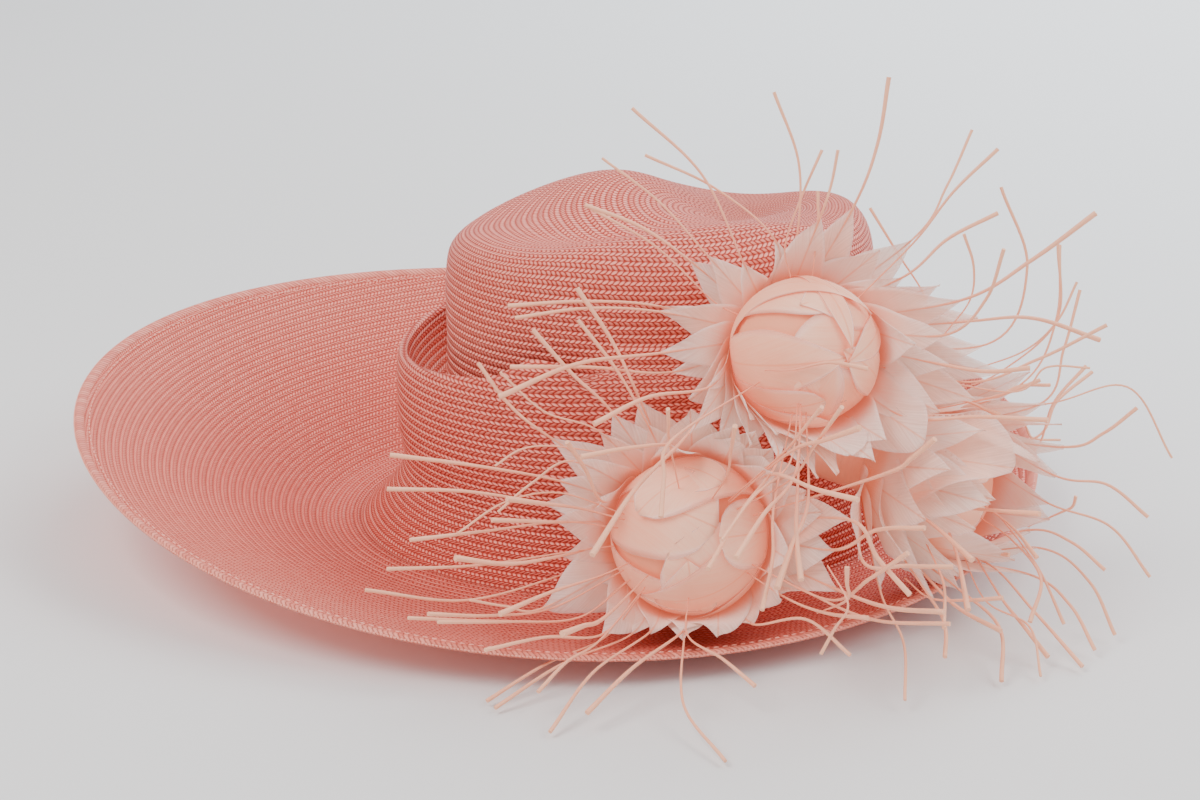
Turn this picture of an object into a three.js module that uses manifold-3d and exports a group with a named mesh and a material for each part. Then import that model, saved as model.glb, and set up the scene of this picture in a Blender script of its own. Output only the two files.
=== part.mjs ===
import * as THREE from 'three';
import { mergeVertices } from 'three/addons/utils/BufferGeometryUtils.js';
import Module from 'manifold-3d';

// A wide-brimmed straw hat for a formal occasion, lying on its brim. The straw is blocked in two
// pieces: a dented oval crown, and a brim whose inner part stands up as a collar round the crown.
// Three feather flowers sit at the front and right. Lengths are millimetres, angles are degrees.

const wasm = await Module();
wasm.setup();

// Straw, the gap between pieces, and the number of columns round every straw ring
const strawThickness = 2;
const pieceGap = 0.3;
const aroundStraw = 60;

// The hat is shaped about the crown's centre line, then moved so that its footprint is centred
const footprintCentre = { x: -25.6, y: -30.6 };

// The crown's oval is turned a little, so that its right end lies further back
const crownYaw = 15;

// The straw's oval rings in one run from the crown's tip to the hem. The tip sits right of the
// middle, and relief says how much of the top's dents a ring takes. Between crown and brim the straw
// is folded into a gutter and a standing collar, in the rings whose fold is 1. At the front right the
// fold dies out: there each of them moves outwards by openOut and stands at openHeight. Rise adds to
// a ring's height towards the right, towards the back and at both ends of its oval.
const strawRings = [
  { name: 'tip', halfLength: 0, halfWidth: 0, yaw: 15, right: 32, back: 18, height: 159,
    relief: 1, fold: 0, openOut: 0, openHeight: 159, riseRight: 0, riseBack: 0, riseEnds: 0, steps: 1 },
  { name: 'inner top', halfLength: 24, halfWidth: 19, yaw: 15, right: 24, back: 13, height: 160,
    relief: 1, fold: 0, openOut: 0, openHeight: 160, riseRight: 0, riseBack: 0, riseEnds: 0, steps: 2 },
  { name: 'top', halfLength: 56, halfWidth: 46, yaw: 15, right: 11, back: 6, height: 161,
    relief: 1, fold: 0, openOut: 0, openHeight: 161, riseRight: 0, riseBack: 0, riseEnds: 0, steps: 2 },
  { name: 'rim of the top', halfLength: 88, halfWidth: 71, yaw: 15, right: 2, back: 1, height: 158,
    relief: 1, fold: 0, openOut: 0, openHeight: 158, riseRight: 0, riseBack: 0, riseEnds: 0, steps: 1 },
  { name: 'shoulder', halfLength: 101.5, halfWidth: 83.5, yaw: 15, right: 0, back: 0, height: 149,
    relief: 0.6, fold: 0, openOut: 0, openHeight: 149, riseRight: 0, riseBack: 0, riseEnds: 0, steps: 1 },
  { name: 'wall', halfLength: 105.5, halfWidth: 87.5, yaw: 15, right: 0, back: 0, height: 130,
    relief: 0.15, fold: 0, openOut: 0, openHeight: 130, riseRight: 0, riseBack: 0, riseEnds: 0, steps: 1 },
  { name: 'low wall', halfLength: 105.5, halfWidth: 88, yaw: 15, right: 0, back: 0, height: 97,
    relief: 0, fold: 1, openOut: 0.5, openHeight: 118, riseRight: 0, riseBack: 0, riseEnds: 0, steps: 1 },
  { name: 'crown foot', halfLength: 107, halfWidth: 89.5, yaw: 15, right: 0, back: 0, height: 71,
    relief: 0, fold: 1, openOut: 0.5, openHeight: 110, riseRight: 0, riseBack: 0, riseEnds: 0, steps: 1 },
  { name: 'gutter', halfLength: 113, halfWidth: 95.5, yaw: 15, right: -1.5, back: 0.5, height: 64,
    relief: 0, fold: 1, openOut: -1.5, openHeight: 104, riseRight: 0, riseBack: 0, riseEnds: 0, steps: 1 },
  { name: 'inner wall', halfLength: 119, halfWidth: 100, yaw: 15, right: -3.5, back: 1, height: 76,
    relief: 0, fold: 1, openOut: -2.5, openHeight: 98, riseRight: 1, riseBack: -2, riseEnds: -2, steps: 2 },
  { name: 'collar rim', halfLength: 121.5, halfWidth: 101.5, yaw: 15, right: -6, back: 2, height: 100.5,
    relief: 0, fold: 1, openOut: -3, openHeight: 91, riseRight: 3, riseBack: -5, riseEnds: -5, steps: 1 },
  { name: 'outside of the rim', halfLength: 124.5, halfWidth: 104.5, yaw: 15, right: -6, back: 2, height: 94,
    relief: 0, fold: 1, openOut: -3.5, openHeight: 82, riseRight: 3, riseBack: -5, riseEnds: -5, steps: 1 },
  { name: 'collar wall', halfLength: 124, halfWidth: 104, yaw: 14, right: -6.5, back: 2, height: 61,
    relief: 0, fold: 1, openOut: -1, openHeight: 60, riseRight: 1, riseBack: -1, riseEnds: -1, steps: 2 },
  { name: 'collar foot', halfLength: 121, halfWidth: 103.5, yaw: 11, right: -8, back: 3, height: 30,
    relief: 0, fold: 0, openOut: 0, openHeight: 30, riseRight: 1, riseBack: 0, riseEnds: 0, steps: 2 },
  { name: 'start of the rest', halfLength: 136, halfWidth: 115.5, yaw: 4, right: -15, back: 4, height: 0,
    relief: 0, fold: 0, openOut: 0, openHeight: 0, riseRight: 0, riseBack: 0, riseEnds: 0, steps: 1 },
  { name: 'end of the rest', halfLength: 150, halfWidth: 129, yaw: 3, right: -18, back: 5, height: 0,
    relief: 0, fold: 0, openOut: 0, openHeight: 0, riseRight: 0, riseBack: 0, riseEnds: 0, steps: 2 },
  { name: 'mid brim', halfLength: 192, halfWidth: 171, yaw: 0, right: -34, back: 8, height: 15,
    relief: 0, fold: 0, openOut: 0, openHeight: 15, riseRight: -6, riseBack: 9, riseEnds: 2, steps: 3 },
  { name: 'brim edge', halfLength: 237, halfWidth: 214, yaw: 0, right: -51, back: 10, height: 41,
    relief: 0, fold: 0, openOut: 0, openHeight: 41, riseRight: -14, riseBack: 21.5, riseEnds: 5, steps: 0 },
];

// The crown and the brim part in the floor of the gutter
const ringNames = strawRings.map((ring) => ring.name);
const joinPlace = ringNames.indexOf('gutter');
const joinGap = 0.07;

// Where the fold is open: the middle of that stretch, half its width, and the width of the blend
const fold = { openAt: 288, openHalf: 40, blend: 30 };

// Dents and humps of the crown's top, along and across its turned oval
const crownRelief = [
  { name: 'front ridge', along: 12, across: -62, length: 75, width: 15, rise: 7 },
  { name: 'pinch behind the ridge', along: -30, across: -22, length: 42, width: 20, rise: -9 },
  { name: 'hump at the back left', along: -12, across: 40, length: 36, width: 28, rise: 8 },
  { name: 'sloping left end', along: -80, across: 30, length: 42, width: 45, rise: -7 },
  { name: 'sunken middle', along: 42, across: 6, length: 34, width: 26, rise: -9 },
  { name: 'square right end', along: 106, across: 5, length: 22, width: 60, rise: 4 },
  { name: 'saddle at the back right', along: 50, across: 50, length: 36, width: 36, rise: -12 },
];

// The hem: a folded strip just outside the brim's edge. The corners of its section are in shares of
// its width and of its thickness, and its outer side is rounded.
const hem = { width: 4, thickness: 3 };
const hemSection = [
  { out: 0, up: 0.5 },
  { out: 0.6, up: 0.5 },
  { out: 1, up: 0 },
  { out: 0.6, up: -0.5 },
  { out: 0, up: -0.5 },
];

// Feather flowers: the bud's centre and radii, the way it faces, and how far its stem runs back
const flowers = [
  { name: 'top', centre: [62, -125, 132], faces: [0.25, -0.93, 0.12], radius: 34, depth: 33, stem: 14 },
  { name: 'front', centre: [10, -152, 50], faces: [-0.08, -0.95, 0.3], radius: 36, depth: 33, stem: 5 },
  { name: 'side', centre: [124, -108, 58], faces: [0.9, -0.42, -0.08], radius: 33, depth: 30, stem: 26 },
];

// Feathers, each a petal that narrows to a bare quill: where the quill ends from the bud's centre
// (right, back, up), how far out the petal reaches, its width, how far the quill bows sideways, and
// how far it arches upwards to clear the brim's edge
const feathers = {
  top: [
    { right: -134, back: 12, up: 14, petal: 76, width: 32, bow: 6, lift: 0 },
    { right: -136, back: -40, up: -10, petal: 70, width: 28, bow: -4, lift: 0 },
    { right: -98, back: 26, up: 58, petal: 80, width: 34, bow: 8, lift: 0 },
    { right: -76, back: 30, up: 100, petal: 78, width: 32, bow: -8, lift: 0 },
    { right: -14, back: 30, up: 110, petal: 74, width: 34, bow: -4, lift: 0 },
    { right: 36, back: 24, up: 118, petal: 76, width: 34, bow: 4, lift: 0 },
    { right: 88, back: 28, up: 82, petal: 78, width: 34, bow: -6, lift: 0 },
    { right: 126, back: -14, up: 64, petal: 74, width: 32, bow: 3, lift: 0 },
    { right: 134, back: 6, up: 8, petal: 72, width: 34, bow: 5, lift: 0 },
    { right: -94, back: -60, up: -16, petal: 68, width: 28, bow: 4, lift: 0 },
  ],
  front: [
    { right: -94, back: 20, up: 76, petal: 74, width: 32, bow: 5, lift: 0 },
    { right: -132, back: -14, up: 44, petal: 74, width: 34, bow: -6, lift: 0 },
    { right: -122, back: -52, up: 20, petal: 72, width: 32, bow: 4, lift: 0 },
    { right: -144, back: -34, up: -12, petal: 74, width: 32, bow: -5, lift: 0 },
    { right: -86, back: -94, up: -44, petal: 62, width: 28, bow: 6, lift: 14 },
    { right: -58, back: -122, up: -44, petal: 60, width: 28, bow: 4, lift: 14 },
    { right: 12, back: -136, up: -45, petal: 60, width: 28, bow: -6, lift: 14 },
    { right: 68, back: -74, up: -26, petal: 68, width: 30, bow: 6, lift: 0 },
    { right: -14, back: -118, up: 56, petal: 62, width: 26, bow: -5, lift: 0 },
  ],
  side: [
    { right: 96, back: 18, up: 32, petal: 72, width: 34, bow: 8, lift: 0 },
    { right: 116, back: -4, up: 12, petal: 72, width: 34, bow: -8, lift: 0 },
    { right: 98, back: -32, up: -32, petal: 72, width: 34, bow: -8, lift: 0 },
    { right: 80, back: -52, up: -50, petal: 68, width: 32, bow: 8, lift: 0 },
    { right: 72, back: 48, up: 78, petal: 68, width: 32, bow: 6, lift: 0 },
    { right: 98, back: 66, up: 14, petal: 70, width: 34, bow: 5, lift: 0 },
    { right: 82, back: 60, up: -40, petal: 68, width: 32, bow: -5, lift: 0 },
    { right: 38, back: -112, up: -50, petal: 66, width: 32, bow: 6, lift: 0 },
    { right: -4, back: -106, up: -40, petal: 62, width: 28, bow: -6, lift: 0 },
  ],
};

// A feather's thickness, its quill's diameters, the rows of its mesh, and the share of the petal's
// full width where it leaves the stem
const petalThickness = 1.4;
const quillNear = 1.6;
const quillEnd = 2.8;
const petalRows = 5;
const quillRows = 2;
const petalRoot = 0.12;

// Feathers rise from the stem round the ball of the bud, clear of it, and leave it before they reach
// its back again. Leans are measured from the way the flower faces.
const budClearance = 1.8;
const feathersStart = 172;
const feathersLeave = 158;
const bowShare = 0.6;

// The stem that gathers the feathers behind a bud
const stem = { radius: 9, flare: 1.4, overlap: 6, sides: 10 };

// The ball of a bud: its mesh, and the petals that wrap it
const bud = { around: 18, rows: 8, petals: 5, step: 0.07, twist: 1.4 };

// Colour and finish of each kind of piece
const finishes = {
  straw: { color: 0xe08878, roughness: 0.45, metalness: 0 },
  petals: { color: 0xf0c4b8, roughness: 0.7, metalness: 0 },
  buds: { color: 0xf3cdb4, roughness: 0.7, metalness: 0 },
};

const toRadians = (degrees) => degrees * Math.PI / 180;

// A value between two of four, on a smooth curve through the middle two
function smoothBetween(before, from, to, after, part) {
  const slopeFrom = (to - before) / 2;
  const slopeTo = (after - from) / 2;
  const cube = part ** 3;
  const square = part ** 2;
  return (2 * cube - 3 * square + 1) * from + (cube - 2 * square + part) * slopeFrom
    + (3 * square - 2 * cube) * to + (cube - square) * slopeTo;
}

// A ring of a table at a place between two of its rows, every numbered column taken smoothly
function ringAt(rings, place) {
  const last = rings.length - 1;
  const lower = Math.min(Math.floor(place), last - 1);
  const rows = [-1, 0, 1, 2].map((step) => rings[Math.min(Math.max(lower + step, 0), last)]);
  const ring = {};
  for (const column of Object.keys(rings[0])) {
    if (column !== 'name') {
      ring[column] = smoothBetween(...rows.map((row) => row[column]), place - lower);
    }
  }
  return ring;
}

// The places between two of the table's rings where the mesh has a row of points
function meshPlaces(first, last) {
  const places = [first];
  for (let row = Math.floor(first); row < last; row += 1) {
    const { steps } = strawRings[row];
    for (let step = 0; step < steps; step += 1) {
      const place = row + step / steps;
      if (place > first && place < last) {
        places.push(place);
      }
    }
  }
  places.push(last);
  return places;
}

// How far the fold is open at an angle: 0 where the collar stands free, 1 where it has died out
function openness(angle) {
  const middle = toRadians(fold.openAt);
  const away = Math.abs(Math.atan2(Math.sin(angle - middle), Math.cos(angle - middle)));
  const part = (away - toRadians(fold.openHalf)) / toRadians(fold.blend);
  return 1 - THREE.MathUtils.smoothstep(part, 0, 1);
}

// How far the crown's dents and humps lift a place on its top
function reliefAt(along, across) {
  let lift = 0;
  for (const dent of crownRelief) {
    const far = ((along - dent.along) / dent.length) ** 2 + ((across - dent.across) / dent.width) ** 2;
    lift += dent.rise * Math.exp(-far);
  }
  return lift;
}

// A point in the middle of the straw, held above the surface that the hat lies on
function strawPoint(place, angle) {
  const ring = ringAt(strawRings, place);
  const yaw = toRadians(ring.yaw);
  const open = openness(angle) * ring.fold;
  const along = (ring.halfLength + open * ring.openOut) * Math.cos(angle);
  const across = (ring.halfWidth + open * ring.openOut) * Math.sin(angle);
  const x = ring.right + along * Math.cos(yaw) - across * Math.sin(yaw);
  const y = ring.back + along * Math.sin(yaw) + across * Math.cos(yaw);
  const rise = ring.riseRight * Math.cos(angle) + ring.riseBack * Math.sin(angle)
    + ring.riseEnds * Math.cos(2 * angle);
  let height = ring.height + rise + open * (ring.openHeight - ring.height - rise);
  if (ring.relief > 0) {
    const crownTurn = toRadians(crownYaw);
    height += ring.relief * reliefAt(
      x * Math.cos(crownTurn) + y * Math.sin(crownTurn),
      y * Math.cos(crownTurn) - x * Math.sin(crownTurn),
    );
  }
  return new THREE.Vector3(x, y, Math.max(height, strawThickness / 2));
}

// The direction square to the straw, found from points a little to each side
function strawNormal(place, angle) {
  const step = 0.02;
  const turn = toRadians(1.2);
  const before = Math.max(place - step, step / 4);
  const after = Math.min(place + step, strawRings.length - 1);
  const middle = (before + after) / 2;
  const along = strawPoint(before, angle).sub(strawPoint(after, angle));
  const around = strawPoint(middle, angle + turn).sub(strawPoint(middle, angle - turn));
  return around.cross(along).normalize();
}

// The mean direction round the crown's tip
function tipNormal() {
  const mean = new THREE.Vector3();
  const beside = 0.1;
  const sides = 12;
  for (let side = 0; side < sides; side += 1) {
    mean.add(strawNormal(beside, side / sides * 2 * Math.PI));
  }
  return mean.normalize();
}

// A closed wall of even thickness between two places on the straw, closed at the crown's tip
function strawGeometry(first, last, thickness) {
  const around = aroundStraw;
  const hasTip = first === 0;
  const places = meshPlaces(first, last).slice(hasTip ? 1 : 0);
  const positions = [];
  const faces = [];
  for (const side of [1, -1]) {
    for (const place of places) {
      for (let column = 0; column < around; column += 1) {
        const angle = column / around * 2 * Math.PI;
        const point = strawPoint(place, angle);
        point.addScaledVector(strawNormal(place, angle), side * thickness / 2);
        positions.push(point.x, point.y, Math.max(point.z, 0));
      }
    }
    if (hasTip) {
      positions.push(...strawPoint(0, 0).addScaledVector(tipNormal(), side * thickness / 2).toArray());
    }
  }
  const sideSize = places.length * around + (hasTip ? 1 : 0);
  const at = (side, row, column) => side * sideSize + row * around + column % around;
  const end = places.length - 1;
  for (let column = 0; column < around; column += 1) {
    const next = column + 1;
    for (let row = 0; row < end; row += 1) {
      addQuad(faces, at(0, row, next), at(0, row, column), at(0, row + 1, column), at(0, row + 1, next));
      addQuad(faces, at(1, row, column), at(1, row, next), at(1, row + 1, next), at(1, row + 1, column));
    }
    addQuad(faces, at(0, end, next), at(0, end, column), at(1, end, column), at(1, end, next));
    if (hasTip) {
      faces.push(at(0, 0, column), at(0, 0, next), sideSize - 1);
      faces.push(at(1, 0, next), at(1, 0, column), 2 * sideSize - 1);
    } else {
      addQuad(faces, at(0, 0, column), at(0, 0, next), at(1, 0, next), at(1, 0, column));
    }
  }
  return meshGeometry(positions, faces);
}

function addQuad(faces, first, second, third, fourth) {
  faces.push(first, second, third, first, third, fourth);
}

function meshGeometry(positions, faces) {
  const geometry = new THREE.BufferGeometry();
  geometry.setAttribute('position', new THREE.Float32BufferAttribute(positions, 3));
  geometry.setIndex(faces);
  return geometry;
}

function crownGeometry(thickness) {
  return strawGeometry(0, joinPlace - joinGap, thickness);
}

function brimGeometry(thickness) {
  return strawGeometry(joinPlace + joinGap, strawRings.length - 1, thickness);
}

// The hem's section carried round the brim's edge, grown by extra on every side
function hemGeometry(extra) {
  const lastPlace = strawRings.length - 1;
  const inside = lastPlace - 0.1;
  const corners = hemSection.length;
  const positions = [];
  const faces = [];
  for (let column = 0; column < aroundStraw; column += 1) {
    const angle = column / aroundStraw * 2 * Math.PI;
    const edge = strawPoint(lastPlace, angle);
    const outward = edge.clone().sub(strawPoint(inside, angle)).normalize();
    const across = strawNormal(lastPlace, angle);
    for (const { out, up } of hemSection) {
      const point = edge.clone().addScaledVector(outward, pieceGap - extra + out * (hem.width + 2 * extra));
      point.addScaledVector(across, up * (hem.thickness + 2 * extra));
      positions.push(...point.toArray());
    }
    for (let corner = 0; corner < corners; corner += 1) {
      const next = (corner + 1) % corners;
      const here = column * corners;
      const there = (column + 1) % aroundStraw * corners;
      addQuad(faces, here + corner, here + next, there + next, there + corner);
    }
  }
  return meshGeometry(positions, faces);
}

// The three directions of a flower: the way it faces, and two square to it
function flowerAxes(flower) {
  const faces = new THREE.Vector3(...flower.faces).normalize();
  const side = new THREE.Vector3(0, 0, 1).cross(faces).normalize();
  const up = faces.clone().cross(side);
  return { faces, side, up };
}

// The bud: a ball of petals wrapped one over the next, drawn to a low point at its face
function budGeometry(flower, extra) {
  const { faces: forward, side, up } = flowerAxes(flower);
  const centre = new THREE.Vector3(...flower.centre);
  const { around, rows } = bud;
  const positions = [];
  const faces = [];
  const place = (lean, turn) => {
    const wrap = (bud.petals * (turn / (2 * Math.PI) + bud.twist * lean / Math.PI)) % 1;
    const radius = flower.radius * (1 - bud.step * wrap * Math.sin(lean)) + extra;
    const point = centre.clone().addScaledVector(side, radius * Math.sin(lean) * Math.cos(turn));
    point.addScaledVector(up, radius * Math.sin(lean) * Math.sin(turn));
    return point.addScaledVector(forward, (flower.depth + extra) * Math.cos(lean));
  };
  for (let row = 1; row < rows; row += 1) {
    for (let column = 0; column < around; column += 1) {
      positions.push(...place(row / rows * Math.PI, column / around * 2 * Math.PI).toArray());
    }
  }
  const front = positions.length / 3;
  positions.push(...place(0, 0).toArray(), ...place(Math.PI, 0).toArray());
  for (let column = 0; column < around; column += 1) {
    const next = (column + 1) % around;
    faces.push(front, column, next);
    for (let row = 0; row < rows - 2; row += 1) {
      addQuad(faces, row * around + column, (row + 1) * around + column,
        (row + 1) * around + next, row * around + next);
    }
    faces.push(front + 1, (rows - 2) * around + next, (rows - 2) * around + column);
  }
  return meshGeometry(positions, faces);
}

// A feather's path: from the stem behind the bud, round the ball and out to the quill's end
function featherPath(flower, feather) {
  const { faces: forward } = flowerAxes(flower);
  const tip = new THREE.Vector3(feather.right, feather.back, feather.up);
  const ahead = tip.dot(forward);
  const outward = tip.clone().addScaledVector(forward, -ahead).normalize();
  const around = forward.clone().cross(outward);
  const reach = tip.length();
  const ball = flower.radius + budClearance;
  const lean = Math.acos(ahead / reach);
  const leaves = Math.min(lean + Math.acos(ball / reach), toRadians(feathersLeave));
  const starts = toRadians(feathersStart);
  const onBall = (turn, radius) => new THREE.Vector3()
    .addScaledVector(outward, radius * Math.sin(turn))
    .addScaledVector(forward, radius * Math.cos(turn));
  const points = [onBall(starts, ball + 1)];
  const arcs = 2;
  for (let arc = 0; arc < arcs; arc += 1) {
    points.push(onBall(starts + (leaves - starts) * (arc + 1) / arcs, ball + 1));
  }
  const left = points[points.length - 1];
  const bareAt = feather.petal / reach;
  const arch = left.clone().lerp(tip, bareAt).addScaledVector(around, feather.bow * bowShare);
  arch.z += feather.lift;
  points.push(arch);
  points.push(tip.clone());
  const centre = new THREE.Vector3(...flower.centre);
  const path = new THREE.CatmullRomCurve3(points.map((point) => point.add(centre)));
  return { path, around };
}

// One feather: a thin leaf that narrows to a point, then a quill that thickens to its cut end
function featherGeometry(flower, feather, extra) {
  const { path, around } = featherPath(flower, feather);
  const reach = new THREE.Vector3(feather.right, feather.back, feather.up).length();
  const petalShare = 1 - (reach - feather.petal) / path.getLength();
  const positions = [];
  const faces = [];
  const rows = petalRows + quillRows;
  for (let row = 0; row <= rows; row += 1) {
    const inPetal = row <= petalRows;
    const share = inPetal ? row / petalRows : (row - petalRows) / quillRows;
    const along = inPetal ? share * petalShare : petalShare + share * (1 - petalShare);
    const point = path.getPointAt(along);
    const tangent = path.getTangentAt(along);
    const across = around.clone().addScaledVector(tangent, -around.dot(tangent)).normalize();
    const over = tangent.clone().cross(across);
    const quill = quillNear + (inPetal ? 0 : share) * (quillEnd - quillNear);
    const leaf = inPetal ? feather.width * Math.sin(Math.PI * (petalRoot + (1 - petalRoot) * share)) : 0;
    const halfWidth = Math.max(leaf, quill) / 2 + extra;
    const halfThickness = (inPetal && share < 1 ? petalThickness : quill) / 2 + extra;
    for (const [side, rise] of [[1, 0], [0, 1], [-1, 0], [0, -1]]) {
      const corner = point.clone().addScaledVector(across, side * halfWidth);
      corner.addScaledVector(over, rise * halfThickness);
      positions.push(...corner.toArray());
    }
  }
  const corners = 4;
  const last = rows * corners;
  for (let row = 0; row < rows; row += 1) {
    const here = row * corners;
    const there = here + corners;
    for (let corner = 0; corner < corners; corner += 1) {
      const next = (corner + 1) % corners;
      addQuad(faces, here + corner, here + next, there + next, there + corner);
    }
  }
  addQuad(faces, 3, 2, 1, 0);
  addQuad(faces, last, last + 1, last + 2, last + 3);
  return meshGeometry(positions, faces);
}

// The bound stem that gathers a flower's feathers behind its bud
function stemGeometry(flower) {
  const { faces: forward } = flowerAxes(flower);
  const start = flower.depth - stem.overlap;
  const length = flower.stem + stem.overlap + budClearance;
  const geometry = new THREE.CylinderGeometry(stem.radius * stem.flare, stem.radius, length, stem.sides);
  const turn = new THREE.Quaternion().setFromUnitVectors(new THREE.Vector3(0, 1, 0), forward);
  const middle = new THREE.Vector3(...flower.centre).addScaledVector(forward, -(start + length / 2));
  geometry.applyQuaternion(turn);
  geometry.translate(middle.x, middle.y, middle.z);
  return geometry;
}

// A closed three.js mesh as a solid that can be joined and cut
function solidOf(geometry) {
  const bare = geometry.clone();
  bare.deleteAttribute('normal');
  bare.deleteAttribute('uv');
  const merged = mergeVertices(bare, 1e-4);
  return new wasm.Manifold(new wasm.Mesh({
    numProp: 3,
    vertProperties: new Float32Array(merged.attributes.position.array),
    triVerts: new Uint32Array(merged.index.array),
  }));
}

function geometryOf(solid) {
  const mesh = solid.getMesh();
  return meshGeometry(Array.from(mesh.vertProperties), Array.from(mesh.triVerts));
}

// The largest body of a solid that a cut may have split
function largestBody(solid) {
  const bodies = solid.decompose();
  return bodies.reduce((largest, body) => (body.volume() > largest.volume() ? body : largest));
}

// A flower's feathers and stem as one body, cut clear of the solids it meets
function feathersSolid(flower, obstacles) {
  let joined = solidOf(stemGeometry(flower));
  for (const feather of feathers[flower.name]) {
    joined = joined.add(solidOf(featherGeometry(flower, feather, 0)));
  }
  for (const obstacle of obstacles) {
    joined = joined.subtract(obstacle);
  }
  return largestBody(joined);
}

// The same feathers made a little fatter, so that what they cut leaves a gap
function feathersClearance(flower) {
  let joined = solidOf(stemGeometry(flower));
  for (const feather of feathers[flower.name]) {
    joined = joined.add(solidOf(featherGeometry(flower, feather, pieceGap)));
  }
  return joined;
}

function namedMesh(name, geometry, finish) {
  const mesh = new THREE.Mesh(geometry, new THREE.MeshStandardMaterial(finish));
  mesh.name = name;
  return mesh;
}

function buildHat() {
  const hat = new THREE.Group();
  hat.add(namedMesh('crown', crownGeometry(strawThickness), finishes.straw));
  hat.add(namedMesh('brim', brimGeometry(strawThickness), finishes.straw));
  hat.add(namedMesh('brim_hem', hemGeometry(0), finishes.straw));
  const straw = [
    solidOf(crownGeometry(strawThickness + 2 * pieceGap)),
    solidOf(brimGeometry(strawThickness)),
    solidOf(brimGeometry(strawThickness + 2 * pieceGap)),
    solidOf(hemGeometry(pieceGap)),
    ...flowers.map((flower) => solidOf(budGeometry(flower, pieceGap))),
  ];
  const made = [];
  for (const flower of flowers) {
    const solid = feathersSolid(flower, [...straw, ...made]);
    made.push(feathersClearance(flower));
    hat.add(namedMesh(`flower_${flower.name}_bud`, budGeometry(flower, 0), finishes.buds));
    hat.add(namedMesh(`flower_${flower.name}_feathers`, geometryOf(solid), finishes.petals));
  }
  hat.position.set(-footprintCentre.x, -footprintCentre.y, 0);
  return hat;
}

const hat = buildHat();

export default hat;
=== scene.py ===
import math
import random
from collections import namedtuple

import bmesh
import bpy
import numpy as np
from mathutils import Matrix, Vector


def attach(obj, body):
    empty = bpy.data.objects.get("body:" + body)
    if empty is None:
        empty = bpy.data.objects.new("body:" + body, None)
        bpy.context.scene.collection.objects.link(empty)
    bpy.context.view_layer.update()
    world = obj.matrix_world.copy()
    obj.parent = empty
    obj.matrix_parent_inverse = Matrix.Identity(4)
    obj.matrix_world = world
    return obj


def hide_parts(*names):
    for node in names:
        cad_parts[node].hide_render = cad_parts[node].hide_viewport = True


# A wide-brimmed straw hat for a formal occasion: one run of salmon-pink straw woven in a herringbone,
# a stitched hem, and three feather flowers whose petals narrow to long bare quills. Shapes are worked
# out in millimetres about the crown's centre line, and turned to metres as each mesh is made.

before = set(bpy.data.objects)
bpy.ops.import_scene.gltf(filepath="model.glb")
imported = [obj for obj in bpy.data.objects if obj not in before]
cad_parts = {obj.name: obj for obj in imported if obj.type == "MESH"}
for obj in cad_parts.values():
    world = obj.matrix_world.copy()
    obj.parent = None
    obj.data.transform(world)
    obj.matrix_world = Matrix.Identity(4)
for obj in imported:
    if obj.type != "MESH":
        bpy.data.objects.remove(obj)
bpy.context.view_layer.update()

MM = 0.001
FOOTPRINT_CENTRE = Vector((-25.6, -30.6, 0.0))

# The photograph's frame, and the camera that its perspective gives
PHOTO_WIDTH, PHOTO_HEIGHT = 1200, 800
SENSOR_WIDTH = 36.0
LENS = 84.0
FOCAL_PIXELS = LENS / SENSOR_WIDTH * PHOTO_WIDTH
CAMERA_ELEVATION = math.radians(19.5)
CAMERA_DISTANCE = 1400.0
CAMERA_TARGET = Vector((-30.0, 0.0, 61.0))

# Straw
STRAW_THICKNESS = 2.0
STRAW_COLUMNS = 216
RING_SPACING = 2.7
FOLD_SPACING = 1.25
ROW_HEIGHT = 1.98
STROKE_SPACING = 2.6
STROKES_A_STEP = 24.0
SLANT = 0.7
CROWN_YAW = 15
FREE_COLLAR_AT = 200
# Painted shade: how far past a flower's ball the straw is darkened, as if in the flowers' shadow
PAINTED_SHADE_REACH = 34.0

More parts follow.
